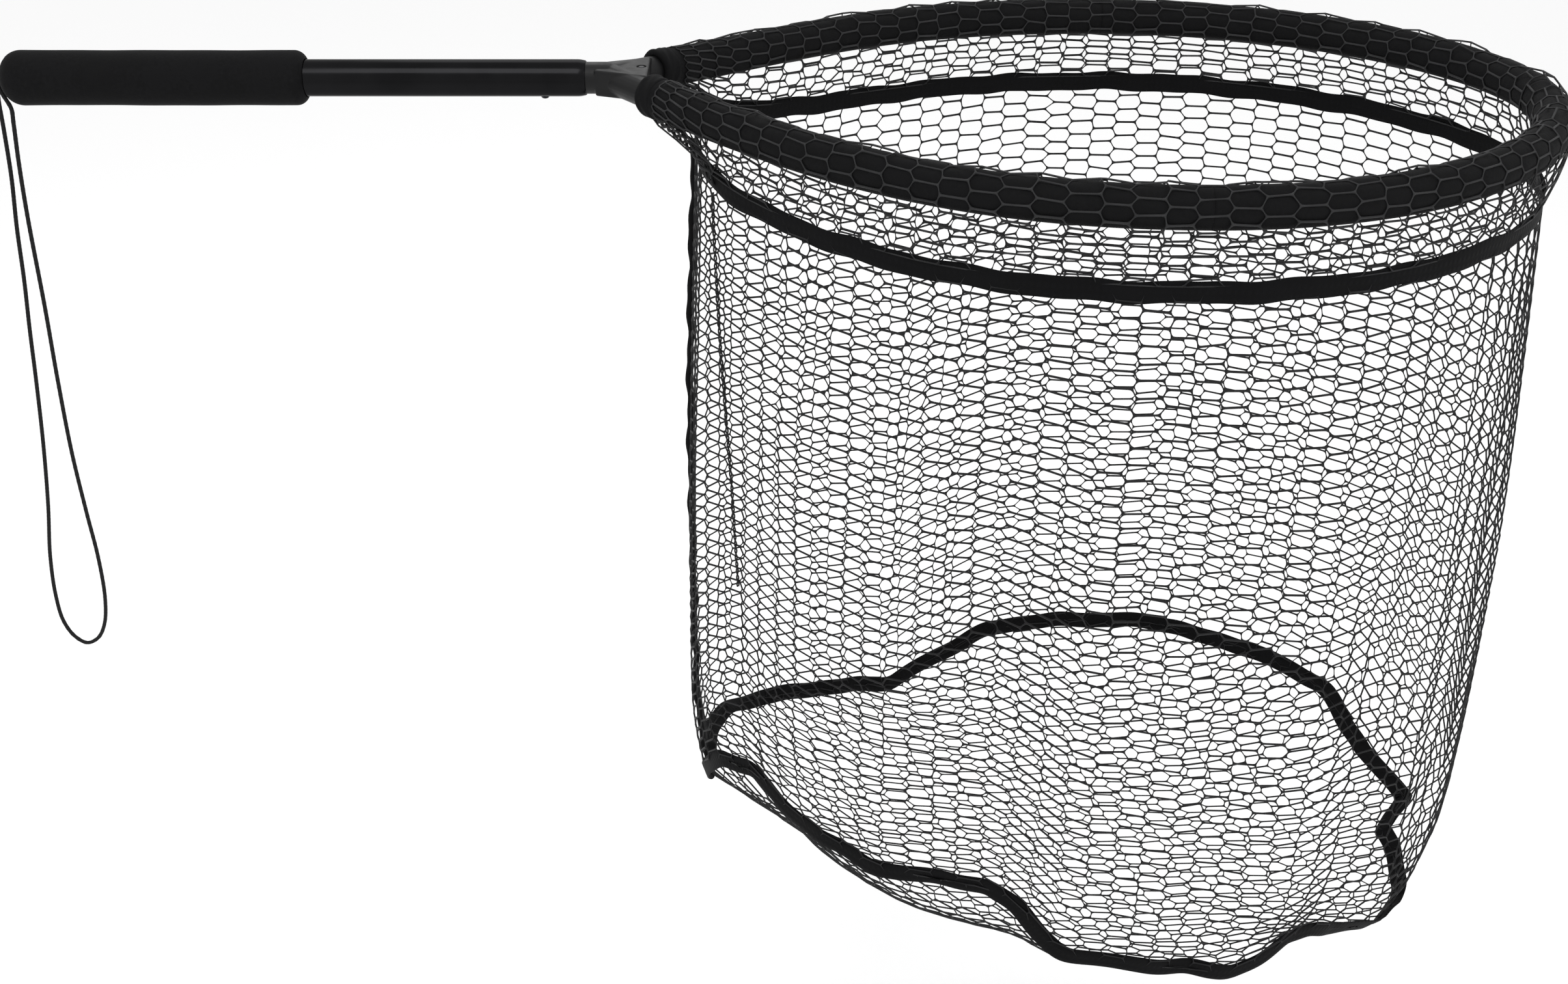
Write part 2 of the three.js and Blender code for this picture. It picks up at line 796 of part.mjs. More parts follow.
// The outline at a share of the bag's depth (0 at the upper tape, 1 at the lower one), offset outward.
function outlineAt(share, offset) {
  const open = 1 - (1 - share) * (1 - share);
  const flared = bagOutline.map((p) => {
    const lengthways = p.x < bagCentreX ? bagFlareRear : bagFlareFront;
    const x = bagCentreX + (p.x - bagCentreX) * (1 + lengthways * open);
    return new THREE.Vector2(x, p.y * (1 + bagFlareSide * open));
  });
  return flared.map((p, i) => {
    const before = flared[(i + bagStations - 1) % bagStations];
    const after = flared[(i + 1) % bagStations];
    const along = after.clone().sub(before).normalize();
    return new THREE.Vector2(p.x - along.y * offset, p.y + along.x * offset);
  });
}

// An upright band round the bag, from one height to another at each station of the outline.
function band(levels, thickness, shareAt, heightAt) {
  const rings = [];
  const outer = [];
  const inner = [];
  for (let level = 0; level <= levels; level += 1) {
    const share = shareAt(level / levels);
    outer.push(outlineAt(share, thickness / 2));
    inner.push(outlineAt(share, -thickness / 2));
  }
  for (let i = 0; i < bagStations; i += 1) {
    const ring = [];
    for (let level = 0; level <= levels; level += 1) {
      const z = heightAt(bagOutline[i], level / levels);
      ring.push(new THREE.Vector3(outer[level][i].x, outer[level][i].y, z));
    }
    for (let level = levels; level >= 0; level -= 1) {
      const z = heightAt(bagOutline[i], level / levels);
      ring.push(new THREE.Vector3(inner[level][i].x, inner[level][i].y, z));
    }
    rings.push(ring);
  }
  return lofted(rings, true);
}

function wallTopAt(p) {
  return upperTapeHeightAt(p.x) - upperTapeHeight / 2 - clearance;
}

function wallBottomAt(p) {
  return lowerTapeHeightAt(p) + lowerTapeHeight / 2 + clearance;
}

add('upper_tape', band(1, bagThickness, () => 0, (p, t) => {
  return upperTapeHeightAt(p.x) + upperTapeHeight / 2 - upperTapeHeight * t;
}), webbing());
add('bag_wall', band(4, bagThickness, (t) => t, (p, t) => {
  return wallTopAt(p) + (wallBottomAt(p) - wallTopAt(p)) * t;
}), netting());
add('lower_tape', band(1, bagThickness, () => 1, (p, t) => {
  return lowerTapeHeightAt(p) + lowerTapeHeight / 2 - lowerTapeHeight * t;
}), webbing());

// ---- Bag bottom ---------------------------------------------------------------------------------

// A thin sagging panel that starts just under the lower tape.
function makeBagBottom() {
  const rim = outlineAt(1, 0);
  const circles = 4;
  const positions = [];
  const faces = [];
  const layers = [0, -bagThickness];
  const middle = lowerTapeZ - lowerTapeHeight / 2 - clearance - bottomSag;
  for (const layer of layers) {
    positions.push(bagCentreX, 0, middle + layer);
    for (let ring = 1; ring <= circles; ring += 1) {
      const share = ring / circles;
      const fall = 1 - share * share;
      for (let i = 0; i < bagStations; i += 1) {
        const edge = lowerTapeHeightAt(bagOutline[i]) - lowerTapeHeight / 2 - clearance;
        positions.push(
          bagCentreX + (rim[i].x - bagCentreX) * share,
          rim[i].y * share,
          edge + (middle - edge) * fall + layer,
        );
      }
    }
  }
  const layerSize = 1 + circles * bagStations;
  for (let i = 0; i < bagStations; i += 1) {
    const k = (i + 1) % bagStations;
    faces.push(0, 1 + i, 1 + k);
    faces.push(layerSize, layerSize + 1 + k, layerSize + 1 + i);
    for (let ring = 0; ring < circles - 1; ring += 1) {
      const a = 1 + ring * bagStations;
      const b = a + bagStations;
      faces.push(a + i, b + i, b + k, a + i, b + k, a + k);
      const c = layerSize + a;
      const d = layerSize + b;
      faces.push(c + i, d + k, d + i, c + i, c + k, d + k);
    }
    const top = 1 + (circles - 1) * bagStations;
    const low = layerSize + top;
    faces.push(top + i, low + i, low + k, top + i, low + k, top + k);
  }
  const geometry = new THREE.BufferGeometry();
  geometry.setAttribute('position', new THREE.Float32BufferAttribute(positions, 3));
  geometry.setIndex(faces);
  return geometry;
}

add('bag_bottom', makeBagBottom(), netting());

// ---- Upright seam tape on the handle side -------------------------------------------------------

function makeSeamTape() {
  const half = seamTapeWidth / 2;
  const rearPoint = bagOutline[0];
  const low = wallBottomAt(rearPoint) + 1;
  const high = wallTopAt(rearPoint) - 1;
  const rings = [];
  for (let level = 0; level <= 10; level += 1) {
    const share = level / 10;
    const z = high + (low - high) * share;
    const x = outlineAt(share, 0)[0].x - bagThickness / 2 - clearance;
    rings.push([
      new THREE.Vector3(x, -half, z),
      new THREE.Vector3(x, half, z),
      new THREE.Vector3(x - seamTapeThickness, half, z),
      new THREE.Vector3(x - seamTapeThickness, -half, z),
    ]);
  }
  const cap = [
    new THREE.Vector2(0, -half),
    new THREE.Vector2(0, half),
    new THREE.Vector2(-seamTapeThickness, half),
    new THREE.Vector2(-seamTapeThickness, -half),
  ];
  return lofted(rings, false, [cap, cap]);
}

add('seam_tape', makeSeamTape(), webbing());

export default net;
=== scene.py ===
import math

import bmesh
import bpy
import numpy as np
from bpy.props import FloatProperty, FloatVectorProperty, IntProperty, PointerProperty
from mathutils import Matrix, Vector
from mathutils.kdtree import KDTree


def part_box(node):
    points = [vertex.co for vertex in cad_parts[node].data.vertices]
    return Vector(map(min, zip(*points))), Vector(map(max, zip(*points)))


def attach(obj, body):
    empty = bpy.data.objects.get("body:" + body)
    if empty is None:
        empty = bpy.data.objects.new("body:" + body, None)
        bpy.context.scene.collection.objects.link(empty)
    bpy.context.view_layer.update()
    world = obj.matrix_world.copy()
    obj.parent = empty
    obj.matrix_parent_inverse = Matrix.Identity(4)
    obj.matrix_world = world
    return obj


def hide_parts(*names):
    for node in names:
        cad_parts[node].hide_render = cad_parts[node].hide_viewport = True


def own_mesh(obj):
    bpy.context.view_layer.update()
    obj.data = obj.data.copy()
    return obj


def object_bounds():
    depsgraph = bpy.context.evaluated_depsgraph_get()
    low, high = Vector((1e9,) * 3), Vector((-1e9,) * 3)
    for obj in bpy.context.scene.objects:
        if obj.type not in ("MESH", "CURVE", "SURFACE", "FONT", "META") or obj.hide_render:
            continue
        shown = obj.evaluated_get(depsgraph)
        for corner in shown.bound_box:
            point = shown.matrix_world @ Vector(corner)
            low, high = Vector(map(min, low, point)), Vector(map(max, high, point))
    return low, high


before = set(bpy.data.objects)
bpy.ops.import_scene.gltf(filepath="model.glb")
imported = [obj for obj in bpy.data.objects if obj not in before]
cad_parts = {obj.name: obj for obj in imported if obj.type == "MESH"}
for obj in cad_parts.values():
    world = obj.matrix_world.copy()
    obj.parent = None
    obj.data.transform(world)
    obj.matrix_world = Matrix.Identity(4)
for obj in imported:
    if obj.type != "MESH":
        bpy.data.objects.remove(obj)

bl_info = {
    "name": "Landing Net",
    "version": (1, 0, 0),
    "blender": (4, 5, 0),
    "location": "View3D > Sidebar > Landing Net",
    "description": "Builds a landing net around its packed model: handle, yoke, floats, netting and tapes",
    "category": "Add Mesh",
}

CAD_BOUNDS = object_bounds()
GRIP_LOW, GRIP_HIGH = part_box("grip")
TUBE_LOW, TUBE_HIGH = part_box("handle_tube")
HOOP_LOW, HOOP_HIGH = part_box("hoop_tube")
MOUTH_X = TUBE_HIGH.x
MM = 0.001


def linear(hex_code):
    """An sRGB hex colour as the linear values that Blender's sockets take."""
    parts = [int(hex_code[i : i + 2], 16) / 255 for i in (0, 2, 4)]
    return tuple(p / 12.92 if p <= 0.04045 else ((p + 0.055) / 1.055) ** 2.4 for p in parts)


def length(name, about, default):
    return FloatProperty(name=name, description=about, default=default, unit="LENGTH", precision=4)


def colour(name, about, hex_code):
    return FloatVectorProperty(
        name=name, description=about, default=linear(hex_code), subtype="COLOR", min=0, max=1
    )


# ---- Sizes and colours that a user would change --------------------------------------------------


class HandleSizes(bpy.types.PropertyGroup):
    button_travel: length("Button Travel", "How far the snap button presses in", 0.0037)
    grip_diameter: length("Grip Diameter", "Outside of the foam grip", GRIP_HIGH.z - GRIP_LOW.z)
    butt_round: length("Butt Rounding", "Radius on the grip's closed end", 0.014)
    front_round: length("Front Rounding", "Radius on the grip's hoop end", 0.008)
    tube_diameter: length("Tube Diameter", "Outside of the handle tube", TUBE_HIGH.z - TUBE_LOW.z)
    tube_wall: length("Tube Wall", "Wall of the handle tube", 0.0014)
    lip_drop: length("Lip Drop", "How far the rolled mouth of the tube narrows", 0.0009)
    lip_run: length("Lip Run", "Length of the rolled mouth of the tube", 0.006)
    button_setback: length("Button Setback", "From the tube's mouth back to the button", 0.029)
    button_hole: length("Button Hole", "Diameter of the button's hole in the tube", 0.0066)
    cord_diameter: length("Cord Diameter", "Thickness of the wrist cord", 0.003)


class HoopSizes(bpy.types.PropertyGroup):
    root: length("Root", "From the tube's mouth to where the two arms meet", 0.016)
    widest: length("Widest Point", "From the tube's mouth to the hoop's widest point", 0.385)
    tip: length("Tip", "From the tube's mouth to the hoop's tip", 0.657)
    half_width: length("Half Width", "From the middle to the hoop's centre line", 0.2145)
    root_pull: length("Root Pull", "How far the arms run straight from the yoke", 0.176)
    shoulder_pull: length("Shoulder Pull", "Fullness of the hoop behind its widest point", 0.17)
    front_pull: length("Front Pull", "Fullness of the hoop in front of its widest point", 0.148)
    tip_pull: length("Tip Pull", "Flatness of the hoop at its tip", 0.108)
    drop: length("Drop", "How far the hoop lies below the handle's axis", 0.015)
    drop_run: length("Drop Run", "Distance over which the hoop drops", 0.13)
    foam_diameter: length("Foam Diameter", "Outside of the foam floats", 0.026)
    foam_bore: length("Foam Bore", "Inside of the foam floats", 0.0138)
    foam_start: length("Foam Start", "From the arms' root to the foam, along the hoop", 0.0433)
    float_joint: length("Float Joint", "Gap between two floats", 0.001)


class NetSizes(bpy.types.PropertyGroup):
    column_pitch: length("Column Pitch", "Middle to middle of two meshes side by side", 0.0182)
    row_pitch: length("Row Pitch", "Middle to middle of two meshes one above the other", 0.011)
    long_side: length("Long Side", "Length of a mesh's two level yarns", 0.0148)
    long_yarn: length("Level Yarn", "Thickness of the level yarns", 0.0016)
    short_yarn: length("Slanting Yarn", "Thickness of the slanting yarns", 0.0009)
    yarn_depth: length("Yarn Depth", "Thickness of the net, through it", 0.0012)
    knot_round: length("Knot Rounding", "How far a junction spreads into a mesh's corner", 0.0021)
    columns_round: IntProperty(name="Columns", description="Meshes round the bag", default=88, min=20)
    rows_down: IntProperty(name="Rows", description="Meshes down the bag's wall", default=46, min=6)


class BagSizes(bpy.types.PropertyGroup):
    side_offset: length("Side Offset", "From the hoop's line out to the bag's wall", 0.003)
    rear: length("Rear", "From the tube's mouth to the bag's rear wall", 0.075)
    rear_corner: length("Rear Corner", "Length of the corners beside the rear wall", 0.025)
    upper_tape: length("Upper Tape", "Width of the upper tape", 0.0145)
    upper_height: length("Upper Tape Height", "Middle of the upper tape, from the axis", -0.067)
    upper_rise: length("Upper Tape Rise", "How far the upper tape climbs at the yoke", 0.028)
    upper_rise_run: length("Upper Rise Run", "Distance over which the upper tape climbs", 0.048)
    lower_tape: length("Lower Tape", "Width of the lower tape", 0.0142)
    tape_thickness: length("Tape Thickness", "Thickness of the woven tapes", 0.0013)
    tape_tilt: FloatProperty(name="Tape Tilt", description="Lean of the lower tape, far side", default=0.3, subtype="ANGLE")
    end_tilt: FloatProperty(name="End Tilt", description="Lean of the lower tape at front and rear", default=0.95, subtype="ANGLE")
    seam_thickness: length("Seam Thickness", "Thickness of the folded tape at the rear", 0.0046)
    seam_tape: length("Seam Tape", "Width of the upright tape at the rear", 0.01)
    bottom_height: length("Bottom Height", "Middle of the bag's bottom, from the axis", -0.65)
    fold_depth: length("Fold Depth", "How far the wall's soft upright folds stand out", 0.0028)
    flare_rear: FloatProperty(name="Rear Flare", description="Growth of the bag to the rear", default=0.04)
    flare_front: FloatProperty(name="Front Flare", description="Growth to the front", default=0.075)
    front_turn_in: FloatProperty(name="Front Turn-in", description="How far the wall turns in to the lower tape", default=0.11)
    rear_turn_in: FloatProperty(name="Rear Turn-in", description="How far the rear turns in to the lower tape", default=0.03)
    side_turn_in: FloatProperty(name="Side Turn-in", description="How far the sides turn in to the lower tape", default=0.045)
    flare_side: FloatProperty(name="Side Flare", description="Growth to the sides", default=0.065)


class Finishes(bpy.types.PropertyGroup):
    grip_foam: colour("Grip Foam", "EVA foam of the grip", "0e0e0f")
    float_foam: colour("Float Foam", "EVA foam of the floats", "0c0c0d")
    tube: colour("Handle Tube", "Black anodised aluminium", "1c1c1d")
    nylon: colour("Yoke", "Moulded glass-filled nylon", "09090a")
    yarn: colour("Netting", "Dyed nylon yarn", "171718")
    # a paler colour for the yarn over the floats: painted sheen, standing in for the light that this yarn catches on
    # the foam
    sheen_painted_yarn: colour("Netting With Painted Sheen", "Yarn over the floats, rubbed paler", "262627")
    tape: colour("Tape", "Woven polypropylene tape", "050506")
    cord: colour("Cord", "Braided polyester cord", "0b0b0c")
    steel: colour("Steel", "Stainless steel of button and spring", "8f9194")
    black_steel: colour("Black Steel", "Black oxide on the screws", "26262a")
    floor: colour("Floor", "Plain studio floor", "fafafa")


class StageSizes(bpy.types.PropertyGroup):
    lens: FloatProperty(name="Lens", description="Focal length", default=41.71, min=1, unit="CAMERA")
    camera_x: length("Camera X", "Camera's place along the handle", 0.43099)
    camera_y: length("Camera Y", "Camera's place across the handle", -1.2256)
    camera_z: length("Camera Z", "Camera's height above the handle's axis", 0.3622)
    tilt: FloatProperty(
        name="Camera Tilt", description="Angle from straight down", default=math.radians(60.69), subtype="ANGLE"
    )
    floor_gap: length("Floor Gap", "From the bag's lowest point down to the floor", 0.4)


GROUPS = {
    "net_handle": HandleSizes,
    "net_hoop": HoopSizes,
    "net_mesh": NetSizes,
    "net_bag": BagSizes,
    "net_finish": Finishes,
    "net_stage": StageSizes,
}


# ---- Node and material helpers -------------------------------------------------------------------


def node(tree, kind, settings=None, links=None):
    """Adds a node with its settings, and links its inputs: a tuple is another node's output."""
    made = tree.nodes.new(kind)
    for key, value in (settings or {}).items():
        setattr(made, key, value)
    for key, value in (links or {}).items():
        if isinstance(value, tuple) and isinstance(value[0], bpy.types.Node):
            tree.links.new(value[0].outputs[value[1]], made.inputs[key])
        else:
            made.inputs[key].default_value = value
    return made


def blank_material(name):
    made = bpy.data.materials.new(name)
    made.use_nodes = True
    made.node_tree.nodes.clear()
    return made, made.node_tree


def finish_material(tree, shader):
    node(tree, "ShaderNodeOutputMaterial", links={"Surface": (shader, "BSDF")})


def two_tone(tree, factor, base, low, high):
    """The base colour darkened and lightened a little by a pattern."""
    ramp = node(tree, "ShaderNodeValToRGB", links={"Fac": factor})
    ramp.color_ramp.elements[0].position = 0.3
    ramp.color_ramp.elements[1].position = 0.7
    ramp.color_ramp.elements[0].color = (*[c * low for c in base], 1)
    ramp.color_ramp.elements[1].color = (*[c * high for c in base], 1)
    return ramp


def eva_foam(name, base, cell_mm, roughness):
    """EVA foam, ground to shape: a dry, light-drinking surface with burst cells about a third of a
    millimetre across, drawn at the given size, and slow patches where hands have polished it."""
    made, tree = blank_material(name)
    at = node(tree, "ShaderNodeTexCoord")
    cells = node(
        tree,
        "ShaderNodeTexVoronoi",
        {"feature": "F1"},
        {"Vector": (at, "Object"), "Scale": 1 / (cell_mm * MM), "Randomness": 1.0},
    )
    patches = node(
        tree, "ShaderNodeTexNoise", links={"Vector": (at, "Object"), "Scale": 1 / (28 * MM), "Detail": 4.0}
    )
    speckle = node(
        tree, "ShaderNodeTexNoise", links={"Vector": (at, "Object"), "Scale": 1 / (2.4 * MM), "Detail": 5.0}
    )
    mixed = node(
        tree,
        "ShaderNodeMath",
        {"operation": "MULTIPLY_ADD"},
        {0: (speckle, "Fac"), 1: 0.45, 2: (patches, "Fac")},
    )
    shade = node(
        tree, "ShaderNodeMapRange", links={"Value": (mixed, "Value"), "From Min": 0.55, "From Max": 0.95}
    )
    tint = two_tone(tree, (shade, "Result"), base, 0.84, 1.22)
    rough = node(
        tree,
        "ShaderNodeMapRange",
        links={
            "Value": (patches, "Fac"),
            "From Min": 0.3,
            "From Max": 0.7,
            "To Min": roughness - 0.1,
            "To Max": roughness + 0.05,
        },
    )
    pits = node(
        tree,
        "ShaderNodeBump",
        links={"Strength": 0.55, "Distance": 0.12 * MM, "Height": (cells, "Distance")},
    )
    dents = node(
        tree,
        "ShaderNodeBump",
        links={"Strength": 0.5, "Distance": 0.35 * MM, "Height": (speckle, "Fac"), "Normal": (pits, "Normal")},
    )
    shader = node(
        tree,
        "ShaderNodeBsdfPrincipled",
        links={
            "Base Color": (tint, "Color"),
            "Roughness": (rough, "Result"),
            "IOR": 1.48,
            "Specular IOR Level": 0.12,
            "Normal": (dents, "Normal"),
        },
    )
    finish_material(tree, shader)
    return made


def anodised_aluminium(name, base, along):
    """Drawn aluminium tube, anodised black: a soft metallic gloss, drawn out along the tube by fine die
    lines, with a few rubbed marks. The lines are finer than a tenth of a millimetre and are drawn at
    half a millimetre so that they show."""
    made, tree = blank_material(name)
    at = node(tree, "ShaderNodeTexCoord")
    stretch = node(
        tree, "ShaderNodeMapping", links={"Vector": (at, "Object"), "Scale": (1 / (90 * MM), *[1 / (0.5 * MM)] * 2)}
    )
    if not along:
        stretch.inputs["Scale"].default_value = [1 / (3 * MM)] * 3
    lines = node(
        tree, "ShaderNodeTexNoise", links={"Vector": (stretch, "Vector"), "Scale": 1.0, "Detail": 3.0}
    )
    rubs = node(
        tree, "ShaderNodeTexNoise", links={"Vector": (at, "Object"), "Scale": 1 / (35 * MM), "Detail": 6.0}
    )
    tint = two_tone(tree, (rubs, "Fac"), base, 0.85, 1.15)
    rough = node(
        tree,
        "ShaderNodeMapRange",
        links={"Value": (rubs, "Fac"), "From Min": 0.3, "From Max": 0.7, "To Min": 0.15, "To Max": 0.24},
    )
    bump = node(
        tree,
        "ShaderNodeBump",
        links={"Strength": 0.18, "Distance": 0.03 * MM, "Height": (lines, "Fac")},
    )
    shader = node(
        tree,
        "ShaderNodeBsdfPrincipled",
        links={
            "Base Color": (tint, "Color"),
            "Metallic": 1.0,
            "Specular Tint": (0.6, 0.6, 0.6, 1),
            "Roughness": (rough, "Result"),
            "Normal": (bump, "Normal"),
        },
    )
    finish_material(tree, shader)
    return made


def moulded_nylon(name, base):
    """Glass-filled nylon from a spark-eroded mould: satin, with an even grain of about 0.3 mm and paler
    clouds where the glass comes to the surface."""
    made, tree = blank_material(name)
    at = node(tree, "ShaderNodeTexCoord")
    grain = node(
        tree, "ShaderNodeTexNoise", links={"Vector": (at, "Object"), "Scale": 1 / (0.45 * MM), "Detail": 2.0}
    )
    clouds = node(
        tree, "ShaderNodeTexNoise", links={"Vector": (at, "Object"), "Scale": 1 / (9 * MM), "Detail": 5.0}
    )
    tint = two_tone(tree, (clouds, "Fac"), base, 0.85, 1.25)
    rough = node(
        tree,
        "ShaderNodeMapRange",
        links={"Value": (clouds, "Fac"), "From Min": 0.3, "From Max": 0.7, "To Min": 0.4, "To Max": 0.52},
    )
    bump = node(
        tree,
        "ShaderNodeBump",
        links={"Strength": 0.3, "Distance": 0.06 * MM, "Height": (grain, "Fac")},
    )
    shader = node(
        tree,
        "ShaderNodeBsdfPrincipled",
        links={
            "Base Color": (tint, "Color"),
            "Roughness": (rough, "Result"),
            "IOR": 1.53,
            "Specular IOR Level": 0.22,
            "Normal": (bump, "Normal"),
        },
    )
    finish_material(tree, shader)
    return made


def nylon_yarn(name, base, high=1.35):
    """Dyed nylon netting yarn, twisted: a soft sheen and a fine twist, drawn at 0.9 mm so that it shows,
    with yarns a little paler where they have been rubbed."""
    made, tree = blank_material(name)
    at = node(tree, "ShaderNodeTexCoord")
    twist = node(
        tree,
        "ShaderNodeTexWave",
        {"wave_type": "BANDS", "bands_direction": "DIAGONAL"},
        {"Vector": (at, "Object"), "Scale": 1 / (6 * MM), "Distortion": 2.0, "Detail": 1.0},
    )
    rub = node(
        tree, "ShaderNodeTexNoise", links={"Vector": (at, "Object"), "Scale": 1 / (14 * MM), "Detail": 4.0}
    )
    tint = two_tone(tree, (rub, "Fac"), base, 0.8, high)
    bump = node(
        tree,
        "ShaderNodeBump",
        links={"Strength": 0.35, "Distance": 0.08 * MM, "Height": (twist, "Fac")},
    )
    shader = node(
        tree,
        "ShaderNodeBsdfPrincipled",
        links={
            "Base Color": (tint, "Color"),
            "Roughness": 0.62,
            "IOR": 1.53,
            "Specular IOR Level": 0.22,
            "Normal": (bump, "Normal"),
        },
    )
    finish_material(tree, shader)
    return made


def woven_tape(name, base, upright=False):
    """Polypropylene tape in a plain weave: ribs across it 1.1 mm apart and warp threads along it, each
    catching a thin line of light."""
    made, tree = blank_material(name)
    at = node(tree, "ShaderNodeUVMap", {"uv_map": "along"})
    ribs = node(
        tree,
        "ShaderNodeTexWave",
        {"wave_type": "BANDS", "bands_direction": "X", "wave_profile": "SIN"},
        {"Vector": (at, "UV"), "Scale": 1 / (1.1 * MM) / (2 * math.pi) * 0.5, "Distortion": 0.6, "Detail": 1.0},
    )
    warps = node(
        tree,
        "ShaderNodeTexWave",
        {"wave_type": "BANDS", "bands_direction": "Y", "wave_profile": "SIN"},
        {"Vector": (at, "UV"), "Scale": 1 / (1.4 * MM) / (2 * math.pi) * 0.5, "Distortion": 0.4, "Detail": 1.0},
    )
    weave = node(
        tree,
        "ShaderNodeMath",
        {"operation": "MULTIPLY"},
        {0: (ribs, "Fac"), 1: (warps, "Fac")},
    )
    worn = node(
        tree, "ShaderNodeTexNoise", links={"Vector": (at, "UV"), "Scale": 1 / (20 * MM), "Detail": 5.0}
    )
    mixed = node(
        tree,
        "ShaderNodeMath",
        {"operation": "MULTIPLY_ADD"},
        {0: (weave, "Value"), 1: 0.35, 2: (worn, "Fac")},
    )
    tint = two_tone(tree, (mixed, "Value"), base, 0.8, 1.4)
    bump = node(
        tree,
        "ShaderNodeBump",
        links={"Strength": 0.7, "Distance": 0.22 * MM, "Height": (weave, "Value")},
    )
    shader = node(
        tree,
        "ShaderNodeBsdfPrincipled",
        links={
            "Base Color": (tint, "Color"),
            "Roughness": 0.74,
            "IOR": 1.49,
            "Specular IOR Level": 0.12,
            "Normal": (bump, "Normal"),
        },
    )
    finish_material(tree, shader)
    return made


def braided_polyester(name, base):
    """Braided polyester cord: two sets of flat strands crossing at about 35 degrees, with a slight sheen
    on the crowns of the strands."""
    made, tree = blank_material(name)
    at = node(tree, "ShaderNodeUVMap", {"uv_map": "along"})
    fibres = node(
        tree,
        "ShaderNodeTexNoise",
        links={"Vector": (at, "UV"), "Scale": 1 / (0.8 * MM), "Detail": 3.0},
    )
    tint = two_tone(tree, (fibres, "Fac"), base, 0.8, 1.45)
    bump = node(
        tree,
        "ShaderNodeBump",
        links={"Strength": 0.4, "Distance": 0.06 * MM, "Height": (fibres, "Fac")},
    )
    shader = node(
        tree,
        "ShaderNodeBsdfPrincipled",
        links={
            "Base Color": (tint, "Color"),
            "Roughness": 0.68,
            "IOR": 1.57,
            "Specular IOR Level": 0.2,
            "Normal": (bump, "Normal"),
        },
    )
    finish_material(tree, shader)
    return made


def machined_steel(name, base, roughness):
    """Turned steel: a fine ring grain about 0.2 mm apart, and faint scratches that break up the gloss."""
    made, tree = blank_material(name)
    at = node(tree, "ShaderNodeTexCoord")
    rings = node(
        tree, "ShaderNodeTexNoise", links={"Vector": (at, "Object"), "Scale": 1 / (0.4 * MM), "Detail": 2.0}
    )
    smears = node(
        tree, "ShaderNodeTexNoise", links={"Vector": (at, "Object"), "Scale": 1 / (3 * MM), "Detail": 4.0}
    )
    tint = two_tone(tree, (smears, "Fac"), base, 0.88, 1.08)
    rough = node(
        tree,
        "ShaderNodeMapRange",
        links={"Value": (smears, "Fac"), "To Min": roughness - 0.08, "To Max": roughness + 0.08},
    )
    bump = node(
        tree,
        "ShaderNodeBump",
        links={"Strength": 0.2, "Distance": 0.02 * MM, "Height": (rings, "Fac")},
    )
    shader = node(
        tree,
        "ShaderNodeBsdfPrincipled",
        links={
            "Base Color": (tint, "Color"),
            "Metallic": 1.0,
            "Roughness": (rough, "Result"),
            "Normal": (bump, "Normal"),
        },
    )
    finish_material(tree, shader)
    return made


def studio_floor(name, base):
    """Matt painted board, with a faint roller texture."""
    made, tree = blank_material(name)
    at = node(tree, "ShaderNodeTexCoord")
    roller = node(tree, "ShaderNodeTexNoise", links={"Vector": (at, "Object"), "Scale": 120.0, "Detail": 2.0})
    bump = node(
        tree, "ShaderNodeBump", links={"Strength": 0.02, "Distance": 0.2 * MM, "Height": (roller, "Fac")}
    )
    shader = node(
        tree,
        "ShaderNodeBsdfPrincipled",
        links={"Base Color": (*base, 1), "Roughness": 0.9, "Normal": (bump, "Normal")},
    )
    finish_material(tree, shader)
    return made


def shared(maker, name, *values):
    """The material of that name, made the first time that it is asked for."""
    return bpy.data.materials.get(name) or maker(name, *values)


# ---- Mesh helpers --------------------------------------------------------------------------------


def new_piece(name, points, faces, material, body, smooth=True):
    mesh = bpy.data.meshes.new(name)
    mesh.from_pydata([tuple(p) for p in points], [], [tuple(f) for f in faces])
    mesh.validate()
    mesh.update()
    if smooth:
        mesh.shade_smooth()
    mesh.materials.append(material)
    made = bpy.data.objects.new(name, mesh)
    bpy.context.scene.collection.objects.link(made)
    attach(made, body)
    return made


def turned(profile, sides):
    """Points and faces of a lathe about X. The profile is a closed loop of (x, radius) points."""
    count = len(profile)
    angles = np.arange(sides) * 2 * math.pi / sides
    points = [(x, r * math.cos(a), r * math.sin(a)) for a in angles for x, r in profile]
    faces = []
    for i in range(sides):
        here, there = i * count, ((i + 1) % sides) * count
        for j in range(count):
            k = (j + 1) % count
            faces.append((here + j, here + k, there + k, there + j))
    return np.array(points), faces


def outward(made):
    """Turns every face of a closed piece to look out."""
    work = bmesh.new()
    work.from_mesh(made.data)
    bmesh.ops.recalc_face_normals(work, faces=work.faces)
    work.to_mesh(made.data)
    work.free()
    return made


